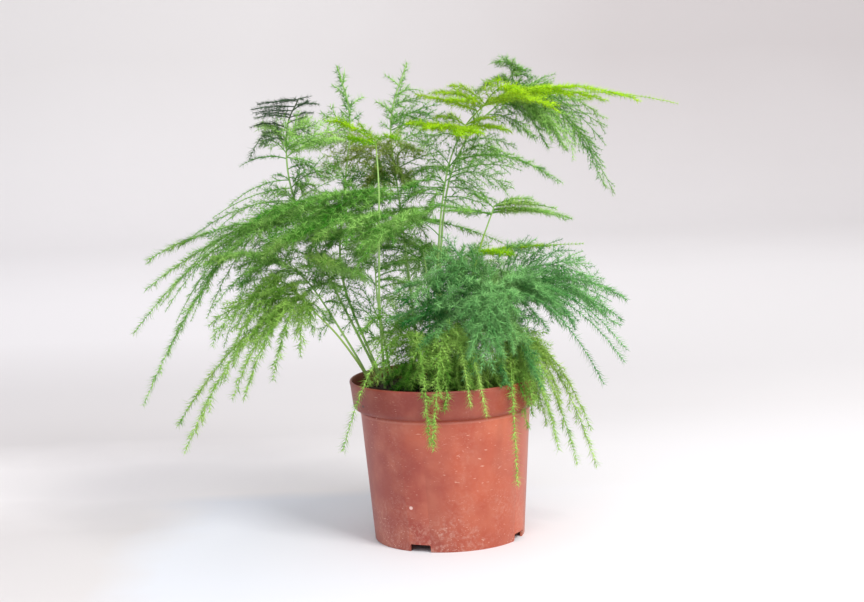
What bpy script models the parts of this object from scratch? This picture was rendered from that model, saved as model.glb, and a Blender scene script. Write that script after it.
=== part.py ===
# Potted asparagus fern: a plastic nursery pot, its soil, and wiry stems that carry feathery fronds.
# Metres, +Z up. The origin is the middle of the pot's foot, on the surface that the pot stands on.
# The front of the plant looks along -Y, and its long low fronds hang to the left, along -X.

import math
import random
from collections import namedtuple

import bmesh
import bpy
from mathutils import Matrix, Vector

MM = 0.001
Frond = namedtuple("Frond", "height heading reach rise arch half_width")
StemPlan = namedtuple("StemPlan", "node finish core radii fronds")

# Pot, in millimetres
POT_HEIGHT = 120.0
RIM_RADIUS = 70.0
BAND_LOW_RADIUS = 67.6
BAND_HEIGHT = 22.0
WALL_TOP_RADIUS = 62.7
FOOT_RADIUS = 55.6
WALL = 1.9
FLOOR = 2.0
EDGE = 0.9
POT_SIDES = 44
NOTCH_WIDTH = 16.0
NOTCH_HEIGHT = 5.5
NOTCH_DEPTH = 10.0
NOTCH_ANGLES = (-113.0, -24.0, 66.0, 156.0)

# Soil, in millimetres
SOIL_TOP = 110.5
SOIL_SIDES = 24
SOIL_RINGS = 5
SOIL_RELIEF = 1.5
GAP = 0.3
HOLE_DEPTH = 9.0
HOLE_OVERRUN = 12.0

# Stems, fronds and needles, in millimetres and degrees
STEM_FOOT_RADIUS = 1.1
STEM_TIP_RADIUS = 0.75
STEM_SIDES = 5
STEM_POINT = 2.5
STEM_RUN = 36.0
RACHIS_RADIUS = 0.8
RACHIS_TIP_RADIUS = 0.5
RACHIS_RUN = 30.0
WIDE_RACHIS_LENGTH = 60.0
NARROW = 6.5
SPRAY_EVERY = 19.0
SPRAY_ROOT_RADIUS = 0.34
SPRAY_RADIUS = 0.62
SPRAY_RUN = 26.0
CLEAR_OF_BEND = 1.2
SPRAY_ANGLE = 52.0
TIP_SPRAY_ANGLE = 36.0
SPRAY_DROOP = 0.14
SHORTEST_SPRAY = 5.0
BENDS = ((1.0, 0.0), (1.0, 0.35), (1.0, -0.35), (0.8, 0.6), (0.7, -0.6), (0.5, 0.0), (0.5, 0.8))
NEEDLE_LENGTH = 4.6
NEEDLE_LEAN = 55.0
WHORL_EVERY = 14.0
WHORL_BAND = 0.55
LAST_WHORL = 3.2
CELL = 2.2
SAMPLE_STEP = 0.8
CLEAR_OF_POT = 1.5
CLEAR_OF_SOIL = 1.0
CLEAR_OF_WALL = 3.5
UP_FOR_STEMS = Vector((0.0, 1.0, 0.0))

# Colours, roughness and metallic value
FINISHES = {
    "terracotta_plastic": ((0.50, 0.115, 0.065), 0.55, 0.0),
    "soil": ((0.045, 0.028, 0.018), 0.95, 0.0),
    "leaf_green": ((0.085, 0.27, 0.045), 0.55, 0.0),
    "blue_green": ((0.045, 0.22, 0.085), 0.55, 0.0),
    "lime_green": ((0.33, 0.60, 0.02), 0.55, 0.0),
    "dark_green": ((0.03, 0.075, 0.04), 0.6, 0.0),
    "fresh_green": ((0.16, 0.37, 0.04), 0.55, 0.0),
}

# Each stem: the points that its centre line passes through, in millimetres, and its nodes.
# A node is (name, finish, height that it ends at); the last one runs to the stem's tip.
STEMS = {
    "low_back": (
        ((-53, 30, 98), (-58, 27, 118), (-76, 16, 155), (-98, 2, 194), (-118, -12, 213)),
        (("stem_low_back", "leaf_green", None),),
    ),
    "low_front": (
        ((-53, 18, 98), (-57, 14, 118), (-76, -3, 152), (-95, -20, 177), (-104, -28, 190)),
        (("stem_low_front", "fresh_green", None),),
    ),
    "arching": (
        ((-47, 42, 98), (-51, 39, 118), (-83, 27, 193), (-107, 16, 259), (-108, 8, 305), (-98, 2, 328)),
        (("stem_arching", "leaf_green", 292), ("tiers_dark", "dark_green", None)),
    ),
    "upright": (
        ((-43, 32, 98), (-49, 33, 118), (-74, 36, 193), (-69, 40, 258), (-63, 42, 312), (-71, 42, 350)),
        (("stem_upright", "leaf_green", None),),
    ),
    "front": (
        ((-44, 5, 98), (-44, 1, 118), (-45, -14, 173), (-43, -34, 218), (-41, -44, 265), (-42, -46, 299)),
        (("stem_front", "leaf_green", 288), ("crown_front_lime", "lime_green", None)),
    ),
    "short": (
        ((-38, 18, 98), (-40, 18, 118), (-47, 18, 174), (-48, 14, 204)),
        (("stem_short", "leaf_green", None),),
    ),
    "middle": (
        ((-17, 27, 98), (-18, 30, 118), (-23, 40, 180), (-28, 48, 240), (-33, 53, 306), (-19, 56, 350)),
        (("stem_middle", "leaf_green", None),),
    ),
    "thin": (
        ((-11, 13, 98), (-11, 15, 118), (-9, 20, 174), (-12, 26, 212)),
        (("stem_thin", "leaf_green", None),),
    ),
    "centre": (
        ((-4, -4, 98), (-4, -4, 118), (-2, -3, 195), (6, 0, 262), (20, -5, 300), (41, -12, 323)),
        (("stem_centre", "leaf_green", 298), ("crown_lime", "lime_green", None)),
    ),
    "tall": (
        (
            (2, 10, 98),
            (2, 10, 118),
            (0, 13, 193),
            (9, 18, 262),
            (30, 25, 302),
            (48, 26, 318),
            (61, 20, 346),
        ),
        (("stem_tall", "leaf_green", None),),
    ),
    "forked": (
        ((7, 2, 98), (9, -1, 118), (25, -16, 200), (41, -26, 247)),
        (("stem_forked_lime", "lime_green", 226), ("fork_green", "leaf_green", None)),
    ),
    "blue_front": (
        ((14, -9, 98), (17, -10, 118), (27, -14, 150), (42, -20, 188)),
        (("stem_blue_front", "blue_green", None),),
    ),
    "blue_back": (
        ((19, 7, 98), (22, 8, 118), (31, 12, 145), (46, 18, 178)),
        (("stem_blue_back", "blue_green", None),),
    ),
    "rim_left": (
        ((-14, -13, 98), (-15, -16, 118), (-17, -22, 137), (-22, -32, 160)),
        (("stem_rim_left", "fresh_green", None),),
    ),
    "rim_middle": (
        ((2, -18, 98), (3, -22, 118), (4, -27, 137), (7, -34, 160)),
        (("stem_rim_middle", "fresh_green", None),),
    ),
    "rim_right": (
        ((21, -18, 98), (28, -20, 118), (38, -23, 136), (50, -28, 152)),
        (("stem_rim_right", "fresh_green", None),),
    ),
    "rear": (
        ((2, 34, 98), (2, 37, 118), (4, 46, 155), (0, 60, 198)),
        (("stem_rear", "leaf_green", None),),
    ),
}

# Each frond: the height at which it leaves its stem, its heading in degrees from +X towards +Y,
# and in millimetres its reach, the rise of its tip, its arch above a straight line, and its half width.
FRONDS = {
    "low_back": ((209, -164, 57, 3, 8, 30), (187, -78, 70, 28, 10, 28)),
    "low_front": (
        (187, -150, 95, -106, 40, 30),
        (184, -177, 88, -93, 22, 24),
        (186, -122, 43, -62, 8, 20),
        (184, -130, 80, -70, 12, 24),
        (182, -92, 36, -52, 10, 18),
    ),
    "arching": (
        (276, -62, 48, 4, 2, 14),
        (285, 22, 40, 11, 5, 18),
        (264, -157, 120, -152, 48, 24),
        (262, 174, 125, -106, 22, 22),
        (258, 155, 132, -75, 22, 28),
        (252, -150, 114, -36, 15, 28),
        (284, 155, 44, -6, 4, 12),
        (325, -140, 32, -2, 1, 9),
        (318, 165, 32, 1, 2, 9),
        (311, -142, 34, -4, 2, 9),
        (321, 50, 26, 0, 2, 8),
        (300, -150, 31, -15, 8, 8),
    ),
    "upright": (
        (194, 112, 62, 2, 8, 28),
        (240, 134, 95, -18, 10, 34),
        (223, -134, 80, -6, 8, 30),
        (318, 10, 11, 8, 1, 4),
        (327, 190, 11, 9, 1, 4),
        (336, 80, 9, 8, 1, 3),
    ),
    "front": (
        (295, -146, 36, 13, 3, 20),
        (296, -60, 30, 4, 3, 12),
        (294, 60, 22, -2, 3, 10),
    ),
    "short": (
        (148, -158, 22, -10, 3, 7),
        (130, -165, 15, -9, 2, 5),
        (184, 5, 34, 2, 3, 7),
        (196, 46, 46, 5, 4, 8),
    ),
    "middle": (
        (236, 17, 80, -26, 3, 6),
        (272, 140, 76, -6, 10, 34),
        (285, 168, 68, 6, 8, 26),
        (262, 112, 72, -18, 10, 26),
        (313, 200, 12, 9, 1, 4),
        (323, 10, 12, 9, 1, 4),
        (333, 170, 10, 8, 1, 3),
    ),
    "thin": ((208, 158, 108, -2, 18, 36),),
    "centre": (
        (259, -157, 136, -8, 6, 40),
        (232, -147, 138, -2, 13, 40),
        (275, -39, 99, -12, 14, 18),
        (263, -59, 82, -2, 9, 16),
        (270, -122, 73, -2, 8, 20),
        (303, -140, 62, 8, 2, 24),
        (307, -72, 53, -4, 2, 18),
        (316, 157, 64, 10, 4, 22),
        (319, 9, 138, -8, 14, 32),
        (320, -128, 64, 7, 4, 22),
    ),
    "tall": (
        (343, -126, 25, 5, 2, 7),
        (341, -60, 24, 1, 3, 7),
        (337, 44, 32, -4, 3, 9),
        (319, -41, 70, -34, 6, 22),
        (326, 28, 98, -82, 22, 28),
        (331, -32, 85, -23, 8, 20),
        (285, 46, 66, -2, 6, 16),
        (269, 124, 76, -22, 12, 20),
    ),
    "forked": (
        (213, -8, 76, 4, 0, 22),
        (210, -73, 64, 4, 4, 18),
        (243, -23, 61, -7, 10, 20),
        (241, -129, 69, 12, 5, 18),
        (242, 103, 70, 4, 4, 15),
        (239, 62, 75, -8, 6, 16),
    ),
    "blue_front": (
        (184, -5, 94, -3, 22, 36),
        (181, -32, 104, -37, 26, 32),
        (180, -50, 102, -60, 28, 28),
        (176, -20, 92, -50, 26, 22),
        (182, -96, 80, -34, 22, 32),
        (183, -142, 74, 6, 20, 30),
    ),
    "blue_back": (
        (174, 38, 86, 30, 14, 34),
        (170, 12, 90, 10, 18, 28),
        (174, 160, 56, 26, 12, 24),
    ),
    "rim_left": (
        (156, -148, 57, -80, 26, 16),
        (154, -80, 52, -66, 28, 16),
        (150, 165, 34, -8, 10, 14),
        (156, -170, 36, 6, 12, 18),
    ),
    "rim_middle": ((156, -66, 54, -56, 26, 16), (154, -104, 60, -76, 30, 18)),
    "rim_right": (
        (149, -86, 45, -100, 26, 12),
        (148, -12, 52, -97, 28, 16),
        (145, 25, 70, -100, 34, 16),
        (146, -46, 50, -82, 26, 16),
        (143, 8, 60, -69, 28, 14),
    ),
    "rear": (
        (186, 58, 84, -26, 20, 32),
        (194, 105, 84, -22, 22, 32),
        (192, 158, 84, 8, 12, 28),
        (160, 100, 64, -50, 28, 22),
        (150, 40, 76, -58, 30, 22),
    ),
}


def clear_scene():
    for obj in list(bpy.data.objects):
        bpy.data.objects.remove(obj, do_unlink=True)


def make_finish(name):
    colour, roughness, metallic = FINISHES[name]
    material = bpy.data.materials.new(name)
    material.use_nodes = True
    shader = material.node_tree.nodes["Principled BSDF"]
    shader.inputs["Base Color"].default_value = (*colour, 1.0)
    shader.inputs["Roughness"].default_value = roughness
    shader.inputs["Metallic"].default_value = metallic
    return material


def add_object(name, bm, finish=None):
    # Scales the bmesh from millimetres to metres and links it as an object.
    bmesh.ops.scale(bm, vec=(MM, MM, MM), verts=bm.verts)
    mesh = bpy.data.meshes.new(name)
    bm.to_mesh(mesh)
    bm.free()
    obj = bpy.data.objects.new(name, mesh)
    bpy.context.scene.collection.objects.link(obj)
    if finish:
        mesh.materials.append(make_finish(finish))
    return obj


def apply_boolean(obj, tools, operation, solver="EXACT"):
    # Cuts or joins every tool object with obj in one step, then removes the tools.
    group = bpy.data.collections.new(obj.name + "_tools")
    for tool in tools:
        group.objects.link(tool)
    modifier = obj.modifiers.new("join", "BOOLEAN")
    modifier.operation = operation
    modifier.operand_type = "COLLECTION"
    modifier.collection = group
    modifier.solver = solver
    graph = bpy.context.evaluated_depsgraph_get()
    mesh = bpy.data.meshes.new_from_object(obj.evaluated_get(graph))
    obj.modifiers.remove(modifier)
    obj.data = mesh
    for tool in tools:
        bpy.data.objects.remove(tool, do_unlink=True)
    bpy.data.collections.remove(group)


def turned(profile, sides):
    # A closed solid of revolution from an outline of (radius, height) points on the XZ plane.
    bm = bmesh.new()
    verts = [bm.verts.new((radius, 0.0, height)) for radius, height in profile]
    edges = [bm.edges.new(pair) for pair in zip(verts, verts[1:])]
    bmesh.ops.spin(
        bm, geom=verts + edges, cent=(0, 0, 0), axis=(0, 0, 1), angle=math.tau, steps=sides, use_merge=True
    )
    bmesh.ops.remove_doubles(bm, verts=bm.verts, dist=0.001)
    bmesh.ops.recalc_face_normals(bm, faces=bm.faces)
    return bm


def wall_radius(height):
    # The pot's outer radius below its band.
    share = height / (POT_HEIGHT - BAND_HEIGHT)
    return FOOT_RADIUS + (WALL_TOP_RADIUS - FOOT_RADIUS) * share


def make_pot():
    band_foot = POT_HEIGHT - BAND_HEIGHT
    profile = (
        (0.0, 0.0),
        (FOOT_RADIUS - EDGE, 0.0),
        (FOOT_RADIUS, EDGE),
        (WALL_TOP_RADIUS, band_foot),
        (BAND_LOW_RADIUS - EDGE, band_foot),
        (BAND_LOW_RADIUS, band_foot + EDGE),
        (RIM_RADIUS, POT_HEIGHT - EDGE),
        (RIM_RADIUS - EDGE, POT_HEIGHT),
        (RIM_RADIUS - WALL, POT_HEIGHT),
        (BAND_LOW_RADIUS - WALL, band_foot + WALL),
        (WALL_TOP_RADIUS - WALL, band_foot),
        (wall_radius(FLOOR) - WALL, FLOOR),
        (0.0, FLOOR),
    )
    pot = add_object("pot", turned(profile, POT_SIDES), "terracotta_plastic")
    notches = []
    for number, angle in enumerate(NOTCH_ANGLES):
        bm = bmesh.new()
        bmesh.ops.create_cube(bm, size=1.0)
        bmesh.ops.scale(bm, vec=(NOTCH_DEPTH * 2, NOTCH_WIDTH, NOTCH_HEIGHT * 2), verts=bm.verts)
        bmesh.ops.translate(bm, vec=(FOOT_RADIUS, 0, 0), verts=bm.verts)
        turn = Matrix.Rotation(math.radians(angle), 3, "Z")
        bmesh.ops.rotate(bm, cent=(0, 0, 0), matrix=turn, verts=bm.verts)
        notches.append(add_object(f"notch_{number}", bm))
    apply_boolean(pot, notches, "DIFFERENCE")
    pot.data.shade_smooth()
    pot.data.set_sharp_from_angle(angle=math.radians(35))


def soil_relief(x, y):
    # Low crumbs and hollows, flat at the middle of each wave.
    slow = math.sin(x * 0.13 + 0.8) * math.cos(y * 0.11 - 0.4)
    quick = math.sin(x * 0.41 + y * 0.23) * math.sin(y * 0.37 - x * 0.19 + 1.1)
    return SOIL_RELIEF * (0.6 * slow + 0.4 * quick)


def make_soil(plans):
    # The pot's flat faces dip inside its true circle by this much.
    dip = RIM_RADIUS * (1 - math.cos(math.pi / POT_SIDES))
    inset = WALL + GAP + dip
    floor = FLOOR + GAP
    band_foot = POT_HEIGHT - BAND_HEIGHT
    edge = BAND_LOW_RADIUS - inset
    profile = [
        (0.0, floor),
        (wall_radius(floor) - inset, floor),
        (WALL_TOP_RADIUS - inset, band_foot + GAP),
        (edge, band_foot + WALL + GAP),
        (edge, SOIL_TOP - SOIL_RELIEF),
    ]
    for ring in range(SOIL_RINGS - 1, -1, -1):
        profile.append((edge * ring / SOIL_RINGS, SOIL_TOP))
    bm = turned(profile, SOIL_SIDES)
    for vert in bm.verts:
        if vert.co.z > SOIL_TOP - 0.01:
            vert.co.z += soil_relief(vert.co.x, vert.co.y)
    bmesh.ops.triangulate(bm, faces=bm.faces)
    soil = add_object("soil", bm, "soil")
    holes = []
    radius = STEM_FOOT_RADIUS + GAP / math.cos(math.pi / STEM_SIDES)
    for plan in plans:
        foot, above = plan.core[:2]
        if foot.z > SOIL_TOP:
            continue
        along = (above - foot).normalized()
        ends = [foot - along * GAP, foot + along * (HOLE_DEPTH + HOLE_OVERRUN)]
        bm, _ = tube(ends, [radius, radius], STEM_SIDES, UP_FOR_STEMS)
        holes.append(add_object("hole_" + plan.node, bm))
    apply_boolean(soil, holes, "DIFFERENCE")


def tube(points, radii, sides, up, bands=()):
    # A tapered tube along points, its rings square to its path and turned by the direction up.
    # A last radius of 0 ends it in a point. Also returns the faces of the runs numbered in bands.
    bm = bmesh.new()
    frames = []
    for number, (point, radius) in enumerate(zip(points, radii)):
        ahead = points[min(number + 1, len(points) - 1)] - points[max(number - 1, 0)]
        along = ahead.normalized()
        over = (up - along * up.dot(along)).normalized()
        turn = Matrix((over.cross(along), over, along)).transposed()
        frames.append(Matrix.LocRotScale(point, turn, Vector((1.0, 1.0, 1.0)) * (radius or 1.0)))
    start = frames[0] @ Matrix.Rotation(math.pi / sides if sides == 4 else 0.0, 4, "Z")
    bmesh.ops.create_circle(bm, cap_ends=True, segments=sides, radius=1.0, matrix=start)
    ring = list(bm.edges)
    chosen = []
    for number, (before, after) in enumerate(zip(frames, frames[1:])):
        made = bmesh.ops.extrude_edge_only(bm, edges=ring)["geom"]
        verts = {item for item in made if isinstance(item, bmesh.types.BMVert)}
        ring = [e for e in made if isinstance(e, bmesh.types.BMEdge) and set(e.verts) <= verts]
        bmesh.ops.transform(bm, matrix=after @ before.inverted(), verts=list(verts))
        if number in bands:
            chosen += [item for item in made if isinstance(item, bmesh.types.BMFace)]
    if radii[-1]:
        bmesh.ops.contextual_create(bm, geom=ring)
    else:
        bmesh.ops.pointmerge(bm, verts=list(verts), merge_co=points[-1])
    bmesh.ops.recalc_face_normals(bm, faces=bm.faces)
    return bm, chosen


def catmull_rom(points, steps=12):
    # A smooth line through the points, as a list of vectors.
    knots = [Vector(p) for p in points]
    knots = [knots[0] * 2 - knots[1]] + knots + [knots[-1] * 2 - knots[-2]]
    line = []
    for a, b, c, d in zip(knots, knots[1:], knots[2:], knots[3:]):
        for step in range(steps):
            t = step / steps
            line.append(
                (b * 2 + (c - a) * t + (a * 2 - b * 5 + c * 4 - d) * t**2 + (b * 3 - a - c * 3 + d) * t**3)
                / 2
            )
    line.append(knots[-2])
    return line


def at_height(line, height):
    # The point where a rising line reaches a height.
    for low, high in zip(line, line[1:]):
        if high.z >= height:
            return low.lerp(high, (height - low.z) / (high.z - low.z))
    return line[-1].copy()


def rachis_curve(root, frond):
    # The frond's midrib as a function of its share from 0 at the stem to 1 at the tip.
    angle = math.radians(frond.heading)
    out = Vector((math.cos(angle), math.sin(angle), 0.0)) * frond.reach
    tip = root + out + Vector((0.0, 0.0, frond.rise))
    pull = (root + tip) / 2 + Vector((0.0, 0.0, 2 * frond.arch))
    return lambda t: root * (1 - t) ** 2 + pull * (2 * t * (1 - t)) + tip * t**2


def curve_length(curve):
    points = [curve(i / 16) for i in range(17)]
    return sum((b - a).length for a, b in zip(points, points[1:]))


def straight_runs(curve, every):
    # The curve as straight runs of about a given length. Returns it with the shares of its bends.
    count = max(1, round(curve_length(curve) / every))
    points = [curve(i / count) for i in range(count + 1)]

    def place(t):
        run = min(count - 1, max(0, int(t * count)))
        return points[run].lerp(points[run + 1], t * count - run)

    return place, [i / count for i in range(count + 1)]


class Room:
    # Marks the cells of space that each node fills, so that another node's sprays keep clear of them.

    def __init__(self):
        self.owners = {}

    def samples(self, points):
        for a, b in zip(points, points[1:]):
            count = max(1, math.ceil((b - a).length / SAMPLE_STEP))
            for i in range(count + 1):
                yield a.lerp(b, i / count)

    def fill(self, node, points):
        for point in self.samples(points):
            x, y, z = (math.floor(v / CELL) for v in point)
            for cell in ((x + i, y + j, z + k) for i in (-1, 0, 1) for j in (-1, 0, 1) for k in (-1, 0, 1)):
                self.owners.setdefault(cell, set()).add(node)

    def is_free(self, node, points):
        for point in self.samples(points):
            if in_pot_or_soil(point):
                return False
            cell = tuple(math.floor(v / CELL) for v in point)
            if self.owners.get(cell, set()) - {node}:
                return False
        return True


def in_pot_or_soil(point):
    radius = math.hypot(point.x, point.y)
    if point.z > POT_HEIGHT + CLEAR_OF_POT or radius > RIM_RADIUS + CLEAR_OF_POT:
        return False
    in_opening = radius < RIM_RADIUS - WALL - CLEAR_OF_WALL
    return not (in_opening and point.z > SOIL_TOP + SOIL_RELIEF + CLEAR_OF_SOIL)


def width_share(t):
    # How long a side spray is against the frond's half width: widest near its foot.
    return min(1.0, 0.45 + 3.0 * t) * (1.0 - 0.86 * t)


def spray_curve(curve, across, t, length, lift, swing):
    # A side spray leaves the midrib at t, leans towards its tip and droops a little.
    root = curve(t)
    along = (curve(min(1.0, t + 0.02)) - curve(t - 0.02)).normalized()
    upward = Vector((0.0, 0.0, 1.0))
    upward = (upward - along * upward.dot(along)).normalized()
    lean = math.radians(SPRAY_ANGLE + (TIP_SPRAY_ANGLE - SPRAY_ANGLE) * t + swing)
    out = across * math.cos(lift) + upward * math.sin(lift)
    way = (along * math.cos(lean) + out * math.sin(lean)) * length
    droop = Vector((0.0, 0.0, -SPRAY_DROOP * length))
    return lambda s: root + way * s + droop * s**2


def needled_core(room, node, curve, bends, radius_at, sides, up, whorls):
    # A slim core along a curve, with whorls of needles: at each one a narrow band of the core's
    # own faces is raised to points, all round, except where another node is in the way.
    length = curve_length(curve)
    half_band = WHORL_BAND / length / 2
    spare = CLEAR_OF_BEND / length
    shares = [t for t in bends if all(abs(t - whorl) > spare for whorl in whorls)]
    shares = sorted(shares + [whorl + side for whorl in whorls for side in (-half_band, half_band)])
    bands = [shares.index(whorl - half_band) for whorl in whorls]
    points = [curve(t) for t in shares]
    radii = [radius_at(t) for t in shares[:-1]] + [0.0]
    bm, faces = tube(points, radii, sides, up, bands)
    for face in faces:
        centre = face.calc_center_median()
        share = min(shares, key=lambda t: (curve(t) - centre).length)
        along = (curve(min(1.0, share + 0.01)) - curve(share - 0.01)).normalized()
        out = (face.normal - along * face.normal.dot(along)).normalized()
        lean = math.radians(NEEDLE_LEAN)
        tip = centre + (along * math.cos(lean) + out * math.sin(lean)) * NEEDLE_LENGTH
        if room.is_free(node, [centre, tip]):
            room.fill(node, [centre, tip])
            bmesh.ops.poke(bm, faces=[face])["verts"][0].co = tip
    return bm


def whorl_places(length):
    # Evenly spaced whorls, the last one close to the tip.
    count = max(1, round((length - NEEDLE_LENGTH) / WHORL_EVERY))
    last = 1.0 - LAST_WHORL / max(length, 2 * LAST_WHORL)
    return [last * (i + 1) / count for i in range(count)]


def spray_radius(t):
    # A side spray is thinnest where it leaves the midrib.
    return SPRAY_RADIUS * (1.0 - 0.3 * t) if t else SPRAY_ROOT_RADIUS


def grow_frond(room, node, curve, midrib_bends, half_width, seed):
    # A frond's midrib and side sprays, each spray bent or shortened where another node is near.
    draw = random.Random(seed)
    length = curve_length(curve)
    across = curve(1.0) - curve(0.0)
    across = Vector((across.y, -across.x, 0.0)).normalized()
    count = max(1, round(length / SPRAY_EVERY)) if half_width > NARROW else 0
    sprays = []
    for number in range(1, count + 1):
        t = (number - 0.35 + draw.uniform(-0.2, 0.2)) / (count + 0.3)
        side = 1 if number % 2 else -1
        full = half_width * width_share(t) * draw.uniform(0.85, 1.1)
        swing = draw.uniform(-6.0, 6.0)
        fall = max(0.0, (curve(t - 0.02) - curve(t + 0.02)).normalized().z)
        tilt = draw.uniform(-0.2, 0.2) + fall * draw.uniform(-0.9, 0.9)
        for share, bend in BENDS:
            if full * share < SHORTEST_SPRAY:
                continue
            spray = spray_curve(curve, across * side, t, full * share, tilt + bend, swing)
            spray, bends = straight_runs(spray, SPRAY_RUN)
            path = [spray(i) for i in bends]
            if room.is_free(node, path):
                room.fill(node, path)
                sprays.append((spray, bends, full * share))
                break
    whorls = whorl_places(length) if half_width <= NARROW else [1.0 - LAST_WHORL / length]
    taper = RACHIS_RADIUS - RACHIS_TIP_RADIUS
    shapes = [
        needled_core(
            room,
            node,
            curve,
            midrib_bends,
            lambda t: RACHIS_RADIUS - taper * t,
            4 if length > WIDE_RACHIS_LENGTH else 3,
            across.cross(curve(1.0) - curve(0.0)),
            whorls,
        )
    ]
    for spray, bends, size in sprays:
        steep = abs((spray(1) - spray(0)).normalized().z) > 0.8
        up = across if steep else Vector((0.0, 0.0, 1.0))
        shapes.append(needled_core(room, node, spray, bends, spray_radius, 3, up, whorl_places(size)))
    return shapes


def plan_stems():
    # A plan for each stem node: its core's bends with their radii, and the fronds that leave it.
    plans = []
    for name, (points, nodes) in STEMS.items():
        line = catmull_rom(points)
        taper = (STEM_FOOT_RADIUS - STEM_TIP_RADIUS) / (line[-1].z - line[0].z)
        foot = SOIL_TOP - HOLE_DEPTH
        for node, finish, end in nodes:
            top = end or line[-1].z - STEM_POINT
            count = max(1, round((top - foot) / STEM_RUN))
            core = [at_height(line, foot + (top - foot) * i / count) for i in range(count + 1)]
            radii = [STEM_FOOT_RADIUS - taper * (point.z - line[0].z) for point in core]
            highest = end or line[-1].z
            fronds = [Frond(*row) for row in FRONDS[name] if foot < row[0] <= highest]
            if end is None:
                core.append(line[-1])
                radii.append(0.0)
            plans.append(StemPlan(node, finish, core, radii, fronds))
            foot = top + GAP
    return plans


def make_plant(plans):
    room = Room()
    midribs = []
    for plan in plans:
        room.fill(plan.node, plan.core)
        curves = [rachis_curve(at_height(plan.core, frond.height), frond) for frond in plan.fronds]
        curves = [straight_runs(curve, RACHIS_RUN) for curve in curves]
        for curve, bends in curves:
            room.fill(plan.node, [curve(t) for t in bends])
        midribs.append(curves)
    for number, plan in enumerate(plans):
        shapes = []
        for place, (frond, (curve, bends)) in enumerate(zip(plan.fronds, midribs[number])):
            seed = 100 * number + place
            shapes += grow_frond(room, plan.node, curve, bends, frond.half_width, seed)
        bm, _ = tube(plan.core, plan.radii, STEM_SIDES, UP_FOR_STEMS)
        stem = add_object(plan.node, bm, plan.finish)
        tools = [add_object(f"{plan.node}_{i}", shape) for i, shape in enumerate(shapes)]
        if tools:
            apply_boolean(stem, tools, "UNION", "MANIFOLD")


clear_scene()
stem_plans = plan_stems()
make_pot()
make_soil(stem_plans)
make_plant(stem_plans)
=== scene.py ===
import math
import random

import bmesh
import bpy
from mathutils import Matrix, Vector


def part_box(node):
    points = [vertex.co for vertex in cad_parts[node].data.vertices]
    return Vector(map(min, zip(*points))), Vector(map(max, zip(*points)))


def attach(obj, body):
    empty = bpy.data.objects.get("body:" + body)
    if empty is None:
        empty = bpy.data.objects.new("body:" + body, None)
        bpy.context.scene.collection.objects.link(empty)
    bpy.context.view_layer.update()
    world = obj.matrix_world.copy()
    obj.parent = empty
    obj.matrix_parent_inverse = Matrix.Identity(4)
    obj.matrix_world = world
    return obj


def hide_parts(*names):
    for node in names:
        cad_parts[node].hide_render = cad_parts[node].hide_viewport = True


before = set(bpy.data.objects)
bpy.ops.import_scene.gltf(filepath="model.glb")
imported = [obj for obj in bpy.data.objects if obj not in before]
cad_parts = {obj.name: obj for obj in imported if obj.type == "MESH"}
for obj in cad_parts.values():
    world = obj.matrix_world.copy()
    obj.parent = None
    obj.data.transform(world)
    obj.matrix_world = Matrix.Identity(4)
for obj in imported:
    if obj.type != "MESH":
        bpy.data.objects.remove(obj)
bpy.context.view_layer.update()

# Potted asparagus fern: a scuffed nursery pot, its soil, and stems with flat feathery fronds.
# Lengths in the dictionaries are millimetres and angles degrees; mm turns them to metres.
mm = 0.001
upward = Vector((0.0, 0.0, 1.0))

photoFrame = {
    "place": (2.97, -1483.8, 366.94),
    "turn": -0.375,
    "lookDown": 7.336,
    "roll": -2.227,
    "lens": 84.70,
    "sensor": 36.0,
}

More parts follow.
